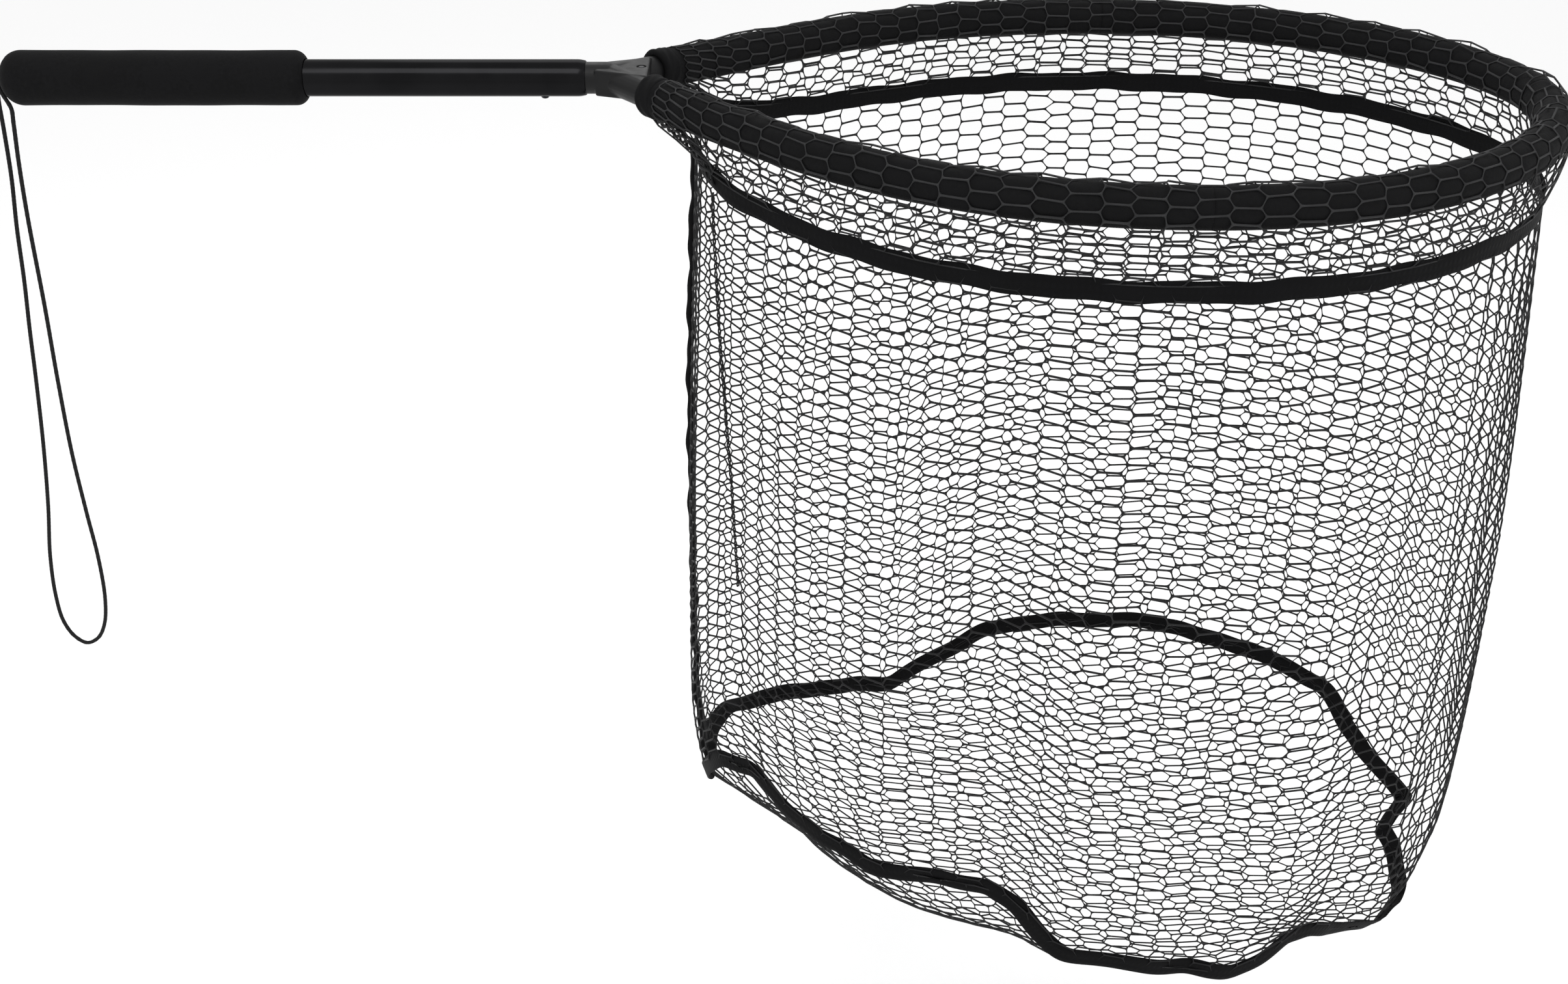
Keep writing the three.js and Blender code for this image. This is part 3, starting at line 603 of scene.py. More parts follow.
def sweep(centres, sides, radii, closed=False, twist=None):
    """Rings about a line of centres, with the ring's second axis kept as near as may be to +Z."""
    centres = np.asarray(centres, float)
    along = np.gradient(centres, axis=0)
    if closed:
        along = np.roll(centres, -1, axis=0) - np.roll(centres, 1, axis=0)
    along /= np.linalg.norm(along, axis=1)[:, None]
    side = [np.cross(along[0], (0, 0, 1) if abs(along[0][2]) < 0.9 else (0, 1, 0))]
    side[0] /= np.linalg.norm(side[0])
    for t in along[1:]:
        turned_on = side[-1] - t * np.dot(side[-1], t)
        side.append(turned_on / np.linalg.norm(turned_on))
    side = np.array(side)
    other = np.cross(side, along)
    angle = np.arange(sides) * 2 * math.pi / sides
    radii = np.broadcast_to(radii, (len(centres), sides))
    rings = (
        centres[:, None]
        + (side[:, None] * np.cos(angle)[None, :, None] + other[:, None] * np.sin(angle)[None, :, None])
        * radii[..., None]
    )
    return rings


def skin(rings, closed=False, cap=True):
    """Points and faces over rings of equal length, with fans on open ends."""
    n, m = rings.shape[:2]
    points = list(rings.reshape(-1, 3))
    faces = []
    for i in range(n if closed else n - 1):
        a, b = i * m, ((i + 1) % n) * m
        faces += [(a + j, b + j, b + (j + 1) % m, a + (j + 1) % m) for j in range(m)]
    if cap and not closed:
        for ring, flip in ((0, False), (n - 1, True)):
            points.append(rings[ring].mean(axis=0))
            middle = len(points) - 1
            for j in range(m):
                a, b = ring * m + j, ring * m + (j + 1) % m
                faces.append((middle, b, a) if flip else (middle, a, b))
    return points, faces


def add_uv(made, per_vertex):
    """A UV map named along, in metres: along the piece and across it."""
    layer = made.data.uv_layers.new(name="along")
    corner = np.zeros(len(made.data.loops), int)
    made.data.loops.foreach_get("vertex_index", corner)
    layer.data.foreach_set("uv", np.asarray(per_vertex, float)[corner].ravel())


def smooth_line(points, step, closed=False):
    """A Catmull-Rom line through the points, with its own points about step apart."""
    p = np.asarray(points, float)
    n = len(p)
    out = []
    spans = n if closed else n - 1
    for i in range(spans):
        if closed:
            a, b, c, d = (p[(i + k) % n] for k in (-1, 0, 1, 2))
        else:
            a, b = p[max(0, i - 1)], p[i]
            c, d = p[i + 1], p[min(n - 1, i + 2)]
        dist = [max(1e-9, np.linalg.norm(v)) ** 0.5 for v in (b - a, c - b, d - c)]
        dist = [dist[1] if x < 1e-4 else x for x in dist]
        m1 = (c - b) - dist[1] * ((c - a) / (dist[0] + dist[1]) - (b - a) / dist[0])
        m2 = (c - b) - dist[1] * ((d - b) / (dist[1] + dist[2]) - (d - c) / dist[2])
        for t in np.linspace(0, 1, 12, endpoint=False):
            h = (2 * t**3 - 3 * t**2 + 1, t**3 - 2 * t**2 + t, -2 * t**3 + 3 * t**2, t**3 - t**2)
            out.append(h[0] * b + h[1] * m1 + h[2] * c + h[3] * m2)
    out.append(p[0] if closed else p[-1])
    return evenly(np.array(out), step)


def evenly(line, step):
    run = np.concatenate([[0], np.cumsum(np.linalg.norm(np.diff(line, axis=0), axis=1))])
    count = max(2, int(round(run[-1] / step)) + 1)
    at = np.linspace(0, run[-1], count)
    return np.stack([np.interp(at, run, line[:, k]) for k in range(line.shape[1])], axis=1)


# ---- Hoop and bag lines --------------------------------------------------------------------------


def bezier(a, b, c, d, steps):
    t = np.linspace(0, 1, steps)[:, None]
    a, b, c, d = (np.array(p, float) for p in (a, b, c, d))
    return (1 - t) ** 3 * a + 3 * t * (1 - t) ** 2 * b + 3 * t**2 * (1 - t) * c + t**3 * d


def hoop_drop(x):
    size = bpy.context.scene.net_hoop
    run = np.maximum(0, x - MOUTH_X - size.root)
    return -size.drop * (1 - np.exp(-run / size.drop_run))


def hoop_far_side():
    """The hoop's far half in plan, root to tip."""
    size = bpy.context.scene.net_hoop
    slant = size.root_pull * math.sqrt(0.5)
    root, wide, tip = (MOUTH_X + size.root, 0), (MOUTH_X + size.widest, size.half_width), (MOUTH_X + size.tip, 0)
    rear = bezier(root, (root[0] + slant, slant), (wide[0] - size.shoulder_pull, wide[1]), wide, 160)
    front = bezier(wide, (wide[0] + size.front_pull, wide[1]), (tip[0], size.tip_pull), tip, 160)
    return np.concatenate([rear, front[1:]])


class Hoop:
    """The hoop's centre line, from the root out along the far side and back along the near one."""

    def __init__(self):
        far = hoop_far_side()
        plan = np.concatenate([far, far[-2::-1] * (1, -1)])
        line = np.column_stack([plan, hoop_drop(plan[:, 0])])
        run = np.concatenate([[0], np.cumsum(np.linalg.norm(np.diff(line, axis=0), axis=1))])
        self.length = run[-1]
        self.run, self.line = run, line
        self.widest = run[159]

    def at(self, s):
        """Centre points, headings and outward directions at distances along the line."""
        s = np.clip(np.asarray(s, float), 0, self.length)
        step = 0.0015
        ahead, behind = np.minimum(s + step, self.length), np.maximum(s - step, 0)
        here, after, before = (
            np.stack([np.interp(q, self.run, self.line[:, k]) for k in range(3)], axis=-1)
            for q in (s, ahead, behind)
        )
        heading = after - before
        heading /= np.linalg.norm(heading, axis=-1, keepdims=True)
        away = np.stack([-heading[..., 1], heading[..., 0], np.zeros_like(s)], axis=-1)
        away /= np.linalg.norm(away, axis=-1, keepdims=True)
        return here, heading, away


def upper_tape_height(x):
    size = bpy.context.scene.net_bag
    run = np.maximum(0, x - MOUTH_X - size.rear)
    return size.upper_height + size.upper_rise * np.exp(-run / size.upper_rise_run)


# The lower tape's middle height at places from the tube's mouth forwards, far side then near side.
LOWER_FAR = [
    (60, -600), (75, -572), (87, -584), (128, -603), (179, -622), (239, -642), (265, -629), (303, -615),
    (329, -597), (373, -591), (432, -587), (488, -582), (541, -582), (590, -582), (624, -584), (642, -603),
]
LOWER_NEAR = [
    (656, -633), (620, -644), (596, -641), (575, -629), (546, -609), (524, -607), (499, -618), (475, -625), (442, -613),
    (381, -599), (340, -594), (322, -577), (306, -551), (286, -540), (252, -542), (207, -549), (172, -544),
    (141, -536), (123, -521), (111, -515), (88, -526),
]


# How far the front fold pushes the lower tape forwards, at shares of the way round the bag, in mm.
FRONT_FOLD = [
    (0.47, 0), (0.485, 6), (0.5, 14.5), (0.512, 0), (0.52, -7.5), (0.53, -2), (0.545, 5),
    (0.56, 12), (0.575, 18), (0.59, 18), (0.605, 10), (0.62, 0),
]


class Bag:
    """The bag's outline in plan, its flare with depth, and its two taped edges."""

    def __init__(self):
        size = bpy.context.scene.net_bag
        self.size = size
        side = hoop_far_side()
        corner = MOUTH_X + size.rear + size.rear_corner
        heading = np.gradient(side, axis=0)
        heading /= np.linalg.norm(heading, axis=1)[:, None]
        shifted = side + np.column_stack([-heading[:, 1], heading[:, 0]]) * size.side_offset
        far = shifted[side[:, 0] > corner][::14]
        tip = np.array([[MOUTH_X + bpy.context.scene.net_hoop.tip + size.side_offset, 0]])
        rear_x = MOUTH_X + size.rear
        rear = np.array([
            [rear_x, 0],
            [rear_x + 0.03 * size.rear_corner, 0.35 * far[0, 1]],
            [rear_x + 0.28 * size.rear_corner, 0.68 * far[0, 1]],
        ])
        mirror = np.array([1, -1])
        plan = np.concatenate([rear, far, tip, far[::-1] * mirror, rear[:0:-1] * mirror])
        line = smooth_line(plan, 0.002, closed=True)
        run = np.concatenate([[0], np.cumsum(np.linalg.norm(np.diff(line, axis=0), axis=1))])
        self.run, self.line, self.girth = run / run[-1], line, run[-1]
        self.centre = MOUTH_X + bpy.context.scene.net_hoop.widest - 0.018
        self.lower = self.tape_heights()

    def plan(self, around):
        """The outline in plan at shares of the way round, from the middle of the rear by the far side."""
        around = np.mod(around, 1)
        return np.stack([np.interp(around, self.run, self.line[:, k]) for k in (0, 1)], axis=-1)

    def away(self, around):
        step = self.plan(around + 0.003) - self.plan(around - 0.003)
        step /= np.linalg.norm(step, axis=-1, keepdims=True)
        return np.stack([-step[..., 1], step[..., 0]], axis=-1)

    def share_of(self, x, far):
        half = self.line[:, 1] >= 0 if far else self.line[:, 1] <= 0
        places, shares = self.line[half], self.run[half]
        return shares[np.argmin(np.abs(places[:, 0] - x))]

    def tape_heights(self):
        rows = [(self.share_of(MOUTH_X + x * MM, True), z * MM) for x, z in LOWER_FAR[1:]]
        rows += [(self.share_of(MOUTH_X + x * MM, False), z * MM) for x, z in LOWER_NEAR]
        rows.append((0.0, LOWER_FAR[0][1] * MM))
        rows.sort()
        at, z = np.array(rows).T
        at, z = np.concatenate([at - 1, at, at + 1]), np.tile(z, 3)
        grid = np.arange(1200) / 1200
        fine = np.interp(grid, at, z)
        kernel = np.hanning(19)
        padded = np.concatenate([fine[-9:], fine, fine[:9]])
        return np.convolve(padded, kernel / kernel.sum(), "valid")

    def lower_height(self, around):
        grid = np.arange(1201) / 1200
        return np.interp(np.mod(around, 1), grid, np.append(self.lower, self.lower[0]))

    def flared(self, around, depth):
        """The outline at a share of the depth, 0 at the upper tape and 1 at the lower one."""
        opened = 1 - (1 - depth) ** 2
        turned_in = np.clip((depth - 0.84) / 0.16, 0, 1) ** 2
        p = self.plan(around)
        ahead = p[..., 0] >= self.centre
        growth = np.where(ahead, self.size.flare_front, self.size.flare_rear) * opened
        growth = growth - np.where(ahead, self.size.front_turn_in, self.size.rear_turn_in) * turned_in
        shares, pushes = np.array(FRONT_FOLD).T
        x = self.centre + (p[..., 0] - self.centre) * (1 + growth)
        x = x + np.interp(np.mod(around, 1), shares, pushes * MM) * turned_in
        sides = self.size.flare_side * opened - self.size.side_turn_in * turned_in
        return np.stack([x, p[..., 1] * (1 + sides)], axis=-1)

    def folds(self, around, depth):
        """Soft upright folds, deeper lower down and gone at the upper tape."""
        turn = 2 * math.pi * around
        wave = (
            np.sin(9 * turn + 1.2 + 1.5 * depth)
            + 0.7 * np.sin(17 * turn + 0.4 - 2.0 * depth)
            + 0.45 * np.sin(31 * turn + 2.2 + 2.5 * depth)
        )
        strength = np.clip(depth * 2.2, 0, 1) * (1 - 0.55 * np.clip(depth * 4 - 3, 0, 1))
        return self.size.fold_depth * wave * strength

    def wall(self, around, depth):
        p = self.flared(around, depth)
        out = self.away(around)
        top = upper_tape_height(self.plan(around)[..., 0])
        low = self.lower_height(around)
        p = p + out * self.folds(around, depth)[..., None]
        return np.stack([p[..., 0], p[..., 1], top + (low - top) * depth], axis=-1)


# ---- Netting -------------------------------------------------------------------------------------


def net_nodes(place, columns, rows, closed, seed, loose=1.0, offset=0.0):
    """Junctions of a hexagonal net. place(u, v) turns column and row numbers into points. Each column has
    a left and a right junction on each level yarn, half a row up or down from its neighbours'."""
    size = bpy.context.scene.net_mesh
    draw = np.random.default_rng(seed)
    reach = 0.5 * size.long_side / size.column_pitch
    levels = rows + 2
    column = np.arange(columns)
    odd = (column % 2)[:, None]
    level = np.arange(levels)[None, :] - 0.5 * odd
    centre = column[:, None] + 0.5 + draw.normal(0, 0.024, (columns, 1)) * loose
    drift = 0.05 * np.sin(level * 0.35 + column[:, None] * 0.9) + draw.normal(0, 0.014, (columns, levels))
    lift = draw.normal(0, 0.03, (columns, levels)) * loose
    half = reach * (1 + draw.normal(0, 0.05, (columns, 1)) * loose)
    half = half + draw.normal(0, 0.012, (columns, levels)) * loose
    tilt = draw.normal(0, 0.028, (columns, levels)) * loose
    inner = (level > 0.3) & (level < rows - 0.3)
    v_left = np.clip(level + np.where(inner, lift + tilt, 0), 0, rows)
    v_right = np.clip(level + np.where(inner, lift - tilt, 0), 0, rows)
    u_left = centre + drift * loose - half + offset
    u_right = centre + drift * loose + half + offset
    if not closed:
        u_left, u_right = np.clip(u_left, 0, columns), np.clip(u_right, 0, columns)
    u = np.stack([u_left, u_right], axis=-1)
    v = np.stack([v_left, v_right], axis=-1)
    step = 0.04
    points = place(u, v)
    across = place(u + step, v) - place(u - step, v)
    down = place(u, v + step) - place(u, v - step)
    normal = np.cross(across, down)
    normal /= np.maximum(np.linalg.norm(normal, axis=-1, keepdims=True), 1e-12)
    return points, normal


def net_cells(columns, rows, closed):
    """Each mesh as the six junctions round it: indices into the flattened (column, level, side) grid."""
    levels = rows + 2
    cells = []

    def index(i, k, side):
        return ((i % columns) * levels + k) * 2 + side

    for i in range(columns):
        if not closed and i in (0, columns - 1):
            continue
        odd = i % 2
        for k in range(rows + odd):
            tip = k if odd else k + 1
            cells.append((
                index(i, k, 0), index(i, k, 1), index(i + 1, tip, 0),
                index(i, k + 1, 1), index(i, k + 1, 0), index(i - 1, tip, 1),
            ))
    return np.array(cells)


def net_piece(name, points, normal, cells, material, body, thick=1.0):
    """Yarns round every mesh. Each is a ridge in front and behind, and the meshes' rounded rims."""
    size = bpy.context.scene.net_mesh
    draw = np.random.default_rng(len(cells))
    points, normal = points.reshape(-1, 3), normal.reshape(-1, 3)
    used, back = np.unique(cells, return_inverse=True)
    cells = back.reshape(cells.shape)
    points, normal = points[used], normal[used]
    corner, norms = points[cells], normal[cells]
    face_normal = norms.mean(axis=1, keepdims=True)
    following = np.roll(corner, -1, axis=1)
    edge = following - corner
    span = np.linalg.norm(edge, axis=2, keepdims=True)
    heading = edge / np.maximum(span, 1e-9)
    inward = np.cross(np.broadcast_to(face_normal, heading.shape), heading)
    inward /= np.maximum(np.linalg.norm(inward, axis=2, keepdims=True), 1e-9)
    middle = corner.mean(axis=1, keepdims=True)
    votes = np.sum(inward * (middle - (corner + following) / 2), axis=2)
    turn = 1.0 if np.median(votes) > 0 else -1.0
    inward *= turn
    level = np.array([1, 0, 0, 1, 0, 0])
    half = np.where(level == 1, size.long_yarn, size.short_yarn)[None, :, None] / 2 * thick
    half = half * (1 + draw.normal(0, 0.08, (len(cells), 1, 1)))
    room = np.linalg.norm(corner - middle, axis=2, keepdims=True)
    half = np.minimum(half, 0.3 * room)
    cut = np.minimum(size.knot_round, 0.36 * span)
    start = corner + heading * cut + inward * half
    end = following - heading * cut + inward * half
    bisect = inward + np.roll(inward, 1, axis=1)
    bisect /= np.maximum(np.linalg.norm(bisect, axis=2, keepdims=True), 1e-9)
    inset = corner + bisect * (half + np.roll(half, 1, axis=1)) / 2 * 1.15
    rim = 0.5 * inset + 0.25 * (start + np.roll(end, 1, axis=1))
    depth = size.yarn_depth / 2 * thick * 1.12
    n_nodes, n_cells = len(points), len(cells)
    everything = np.concatenate([
        points + normal * depth,
        points - normal * depth,
        np.stack([start, end, rim], axis=2).reshape(-1, 3),
    ])
    base = 2 * n_nodes + np.arange(n_cells)[:, None] * 18 + np.arange(6)[None, :] * 3
    s, e, r = base, base + 1, base + 2
    before_e = np.roll(e, 1, axis=1)
    front, after = cells, np.roll(cells, -1, axis=1)
    quads = np.stack([front, after, e, s], axis=-1).reshape(-1, 4)
    tris_a = np.stack([front, s, r], axis=-1).reshape(-1, 3)
    tris_b = np.stack([front, r, before_e], axis=-1).reshape(-1, 3)
    behind = lambda f: np.where(f < n_nodes, f + n_nodes, f)[:, ::-1]
    pairs = np.stack([front, after], axis=-1).reshape(-1, 2)
    pairs = pairs[pairs[:, 0] != pairs[:, 1]]
    key = np.sort(pairs, axis=1)
    _, first, counts = np.unique(key, axis=0, return_index=True, return_counts=True)
    rim_pairs = pairs[first[counts == 1]]
    edge_quads = np.stack(
        [rim_pairs[:, 1], rim_pairs[:, 0], rim_pairs[:, 0] + n_nodes, rim_pairs[:, 1] + n_nodes], axis=-1
    )
    quads = np.concatenate([quads, behind(quads), edge_quads])
    tris = np.concatenate([tris_a, tris_b, behind(tris_a), behind(tris_b)])
    if turn < 0:
        quads, tris = quads[:, ::-1], tris[:, ::-1]
    mesh = bpy.data.meshes.new(name)
    mesh.vertices.add(len(everything))
    mesh.vertices.foreach_set("co", everything.ravel())
    loops = np.concatenate([quads.ravel(), tris.ravel()])
    mesh.loops.add(len(loops))
    mesh.loops.foreach_set("vertex_index", loops)
    starts = np.concatenate([np.arange(len(quads)) * 4, len(quads) * 4 + np.arange(len(tris)) * 3])
    mesh.polygons.add(len(starts))
    mesh.polygons.foreach_set("loop_start", starts)
    mesh.update(calc_edges=True)
    mesh.validate()
    mesh.shade_smooth()
    mesh.materials.append(material)
    made = bpy.data.objects.new(name, mesh)
    bpy.context.scene.collection.objects.link(made)
    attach(made, body)
    return made


class Skirt:
    """The net folded over the floats: up the outside, over the foam and down the inside to the tape."""

    ROWS = 13

    def __init__(self):
        hoop = bpy.context.scene.net_hoop
        net = bpy.context.scene.net_mesh
        bag = bpy.context.scene.net_bag
        self.hoop = Hoop()
        self.radius = hoop.foam_diameter / 2 + 0.25 * net.yarn_depth
        self.start = hoop.foam_start + 0.004
        self.end = self.hoop.length - self.start
        self.offset = bag.side_offset
        self.tape = bag.upper_tape
        # columns stand closer together near the yoke, where the net is gathered
        grid = np.linspace(0, 1, 400)
        crowd = 1 - 0.36 * (np.exp(-grid / 0.03) + np.exp(-(1 - grid) / 0.03))
        total = np.concatenate([[0], np.cumsum(1 / ((crowd[1:] + crowd[:-1]) / 2))])
        self.columns = int(round((self.end - self.start) / net.column_pitch * total[-1] / 399)) // 2 * 2
        self.grid, self.cumulated = grid, total / total[-1]

    def along(self, u):
        share = np.interp(u / self.columns, self.cumulated, self.grid)
        return self.start + (self.end - self.start) * share

    def place(self, u, v):
        s = self.along(u)
        centre, _, away = self.hoop.at(s)
        near_end = np.minimum(s - self.start, self.end - s)
        share = np.clip(0.22 + 0.78 * near_end / 0.05, 0, 1)
        full = centre[..., 2] - (upper_tape_height(centre[..., 0]) + self.tape * 0.3)
        drop = full * share
        leg = np.hypot(drop, (self.radius - self.offset) * share)
        arc = math.pi * self.radius
        total = 2 * leg + arc
        way = v / self.ROWS * total
        up = np.clip(1 - way / leg, 0, 1) * share
        down = np.clip((way - leg - arc) / leg, 0, 1) * share
        angle = np.clip((way - leg) / self.radius, 0, math.pi)
        slack = 0.0012 * np.sin(u * 0.8 + v) * np.clip(up + down, 0, 1)
        # the net stands off the foam's crown here and there, most at the front, where it is gathered
        front = np.exp(-(((s - self.start) / (self.end - self.start) - 0.5) / 0.09) ** 2)
        loose = (0.0022 + 0.0018 * front) * np.clip(np.sin(u * 2.1 + 3 * np.sin(u * 0.37)), 0, 1)
        loose = loose * np.sin(angle) ** 2
        radius = self.radius + loose
        out = radius * np.cos(angle)
        out = out + (self.offset - self.radius) * up**1.6 + (self.offset + self.radius) * down**1.6
        high = radius * np.sin(angle) - full * (up + down)
        return centre + away * (out + slack)[..., None] + np.array((0, 0, 1.0)) * high[..., None]


# ---- Operators: one for each piece or group of like pieces ---------------------------------------


class LANDINGNET_OT_stage(bpy.types.Operator):
    """Set up the camera, the soft studio lights and the pale floor"""

    bl_idname = "landingnet.stage"
    bl_label = "Stage"

    def execute(self, context):
        size, paint = context.scene.net_stage, context.scene.net_finish
        camera = bpy.data.objects.new("camera", bpy.data.cameras.new("camera"))
        camera.data.sensor_width = 36
        camera.data.sensor_fit = "HORIZONTAL"
        camera.data.lens = size.lens
        camera.data.clip_start, camera.data.clip_end = 0.05, 60
        camera.location = (size.camera_x, size.camera_y, size.camera_z)
        camera.rotation_euler = (size.tilt, 0, 0)
        context.scene.collection.objects.link(camera)
        context.scene.camera = camera

        low = CAD_BOUNDS[0][2] - size.floor_gap
        span = 14.0
        corners = [(-span, -span, low), (span, -span, low), (span, span, low), (-span, span, low)]
        mesh = bpy.data.meshes.new("floor")
        mesh.from_pydata(corners, [], [(0, 1, 2, 3)])
        mesh.materials.append(shared(studio_floor, "matt_painted_board", tuple(paint.floor)))
        floor = bpy.data.objects.new("floor", mesh)
        context.scene.collection.objects.link(floor)

        world = bpy.data.worlds.new("studio")
        world.use_nodes = True
        world.node_tree.nodes["Background"].inputs["Color"].default_value = (1, 1, 1, 1)
        world.node_tree.nodes["Background"].inputs["Strength"].default_value = 0.98
        context.scene.world = world
        for name, place, aim, edge, power in (
            ("key", (0.0, -1.3, 2.2), (0.4, 0.0, -0.1), 1.3, 17),
            ("fill", (1.9, -1.1, 1.2), (0.5, 0.0, -0.3), 1.6, 5),
            ("rim", (0.2, 2.0, 1.7), (0.3, 0.0, -0.1), 1.2, 7),
        ):
            lamp = bpy.data.lights.new(name, "AREA")
            lamp.size, lamp.energy = edge, power
            holder = bpy.data.objects.new(name, lamp)
            holder.location = place
            holder.rotation_euler = (Vector(aim) - Vector(place)).to_track_quat("-Z", "Y").to_euler()
            context.scene.collection.objects.link(holder)
        context.scene.view_settings.view_transform = "Standard"
        return {"FINISHED"}


# The wrist cord's line in millimetres, out of the butt, down to the loop's foot and back in.
STRAND = 1.7
CORD_ROUTE = [
    (-79.7, STRAND, 0), (-96, STRAND, 0), (-106.5, STRAND, -0.2), (-110, STRAND, -3.6),
    (-111.6, STRAND, -14), (-112.6, STRAND, -38), (-114.5, STRAND, -72), (-118.5, STRAND, -110),
    (-121.5, STRAND, -150), (-125.5, STRAND, -190), (-129, STRAND, -230), (-134.5, STRAND, -285),
    (-141.5, STRAND, -339), (-149, STRAND, -385), (-151.8, STRAND, -422), (-150, 1.2, -446),
    (-143.5, 0.6, -460), (-134.5, 0, -466), (-124.5, -0.6, -461), (-116.5, -1.2, -447),
    (-111.3, -STRAND, -422), (-109.8, -STRAND, -384), (-111.3, -STRAND, -343), (-112.6, -STRAND, -290),
    (-111.4, -STRAND, -230), (-109.2, -STRAND, -170), (-107.6, -STRAND, -100), (-105.6, -STRAND, -60),
    (-103.4, -STRAND, -32), (-102.8, -STRAND, -21), (-105.6, -STRAND, -13.5), (-107.9, -STRAND, -7),
    (-107.6, -STRAND, -2.2), (-105.6, -STRAND, 0), (-100, -STRAND, 0), (-79.7, -STRAND, 0),
]


class LANDINGNET_OT_wrist_cord(bpy.types.Operator):
    """Add the braided wrist cord and dress its knot"""

    bl_idname = "landingnet.wrist_cord"
    bl_label = "Wrist Cord"

    def execute(self, context):
        size, paint = context.scene.net_handle, context.scene.net_finish
        material = shared(braided_polyester, "braided_polyester", tuple(paint.cord))
        line = smooth_line(np.array(CORD_ROUTE) * MM, 0.0007)
        run = np.concatenate([[0], np.cumsum(np.linalg.norm(np.diff(line, axis=0), axis=1))])
        sides = 16
        angle = np.arange(sides) * 2 * math.pi / sides
        turn = run[:, None] / 0.0062 * 2 * math.pi
        braid = np.abs(np.sin(2 * (angle + turn / 4))) * np.abs(np.sin(2 * (angle - turn / 4)))
        radii = size.cord_diameter / 2 * (0.92 + 0.12 * braid)
        points, faces = skin(sweep(line, sides, radii))
        cord = outward(new_piece("wrist_cord_braid", points, faces, material, "handle"))
        around = np.tile(angle * size.cord_diameter / 2, len(line))
        uv = np.column_stack([np.repeat(run, sides), around])
        add_uv(cord, np.concatenate([uv, [[0, 0], [run[-1], 0]]]))
        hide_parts("wrist_cord")
        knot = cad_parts["cord_knot"]
        knot.data.materials.clear()
        knot.data.materials.append(shared(nylon_yarn, "twisted_cord_knot", tuple(paint.cord)))
        return {"FINISHED"}


def rounded_profile(low_x, high_x, radius, butt, front, hole, bore, floor_x):
    """The grip's outline as a closed loop of (x, radius) points."""
    profile = [(low_x, hole)]
    steps = 18
    for i in range(steps + 1):
        a = math.pi / 2 * i / steps
        profile.append((low_x + butt * (1 - math.sin(a)), radius - butt + butt * math.cos(a)))
    profile = [profile[0], *profile[:0:-1]]
    rows = 40
    start, stop = low_x + butt, high_x - front
    profile += [(start + (stop - start) * i / rows, radius) for i in range(1, rows)]
    for i in range(steps + 1):
        a = math.pi / 2 * i / steps
        x, r = stop + front * math.sin(a), radius - front + front * math.cos(a)
        if r > bore + 0.0004:
            profile.append((x, r))
    profile += [(profile[-1][0] - 0.0004, bore), (floor_x, bore), (floor_x, hole)]
    return profile


class LANDINGNET_OT_grip(bpy.types.Operator):
    """Add the foam grip"""

    bl_idname = "landingnet.grip"
    bl_label = "Grip"

    def execute(self, context):
        size, paint = context.scene.net_handle, context.scene.net_finish
        radius = size.grip_diameter / 2
        profile = rounded_profile(
            GRIP_LOW.x, GRIP_HIGH.x, radius, size.butt_round, size.front_round, 0.004,
            size.tube_diameter / 2 + 0.0002, TUBE_LOW.x - 0.0003,
        )
        points, faces = turned(profile, 96)
        x, y, z = points.T
        angle = np.arctan2(z, y)
        wave = (
            np.sin(x * 61 + 1.0) * 0.5
            + np.sin(x * 143 + 2 * angle) * 0.35
            + np.sin(3 * angle + x * 37) * 0.4
        )
        grow = 1 + 0.00016 / radius * wave * (np.hypot(y, z) > radius * 0.8)
        points = np.column_stack([x, y * grow, z * grow])
        material = shared(eva_foam, "eva_foam_ground_grip", tuple(paint.grip_foam), 0.7, 0.86)
        grip = outward(new_piece("foam_grip", points, faces, material, "handle"))
        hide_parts("grip")
        return {"FINISHED"}


class LANDINGNET_OT_handle_tube(bpy.types.Operator):
    """Add the handle tube with its rolled mouth and button hole, and finish the butt plug"""

    bl_idname = "landingnet.handle_tube"
    bl_label = "Handle Tube"

    def execute(self, context):
        size, paint = context.scene.net_handle, context.scene.net_finish
        outer = size.tube_diameter / 2
        inner = outer - size.tube_wall
        low, high, run, drop = TUBE_LOW.x, MOUTH_X, size.lip_run, size.lip_drop
        profile = [(low, inner), (low, outer)]
        profile += [(low + (high - run - low) * i / 24, outer) for i in range(1, 25)]
        for i in range(1, 9):
            t = i / 8
            profile.append((high - run + (run - 0.0006) * t, outer - drop * (1 - math.cos(t * math.pi / 2)) * 0.8))
        profile += [
            (high - 0.0002, outer - drop * 0.95),
            (high, outer - drop - 0.0003),
            (high, inner + 0.0001),
            (high - 0.0003, inner),
        ]
        points, faces = turned(profile, 128)
        material = shared(anodised_aluminium, "anodised_aluminium_drawn", tuple(paint.tube), True)
        tube = outward(new_piece("alloy_handle_tube", points, faces, material, "handle"))
        drill = bpy.data.meshes.new("drill")
        work = bmesh.new()
        bmesh.ops.create_cone(
            work, cap_ends=True, segments=40, radius1=size.button_hole / 2, radius2=size.button_hole / 2,
            depth=outer,
        )
        bmesh.ops.translate(work, verts=work.verts, vec=(MOUTH_X - size.button_setback, 0, -outer))
        work.to_mesh(drill)
        work.free()
        cutter = bpy.data.objects.new("drill", drill)
        context.scene.collection.objects.link(cutter)
        cut = tube.modifiers.new("button_hole", "BOOLEAN")
        cut.operation, cut.object, cut.solver = "DIFFERENCE", cutter, "EXACT"
        apply_modifiers(tube)
        bpy.data.objects.remove(cutter)
        crease(tube, 35)
        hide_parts("handle_tube")
        dress("butt_plug", shared(moulded_nylon, "moulded_nylon", tuple(paint.nylon)))
        return {"FINISHED"}


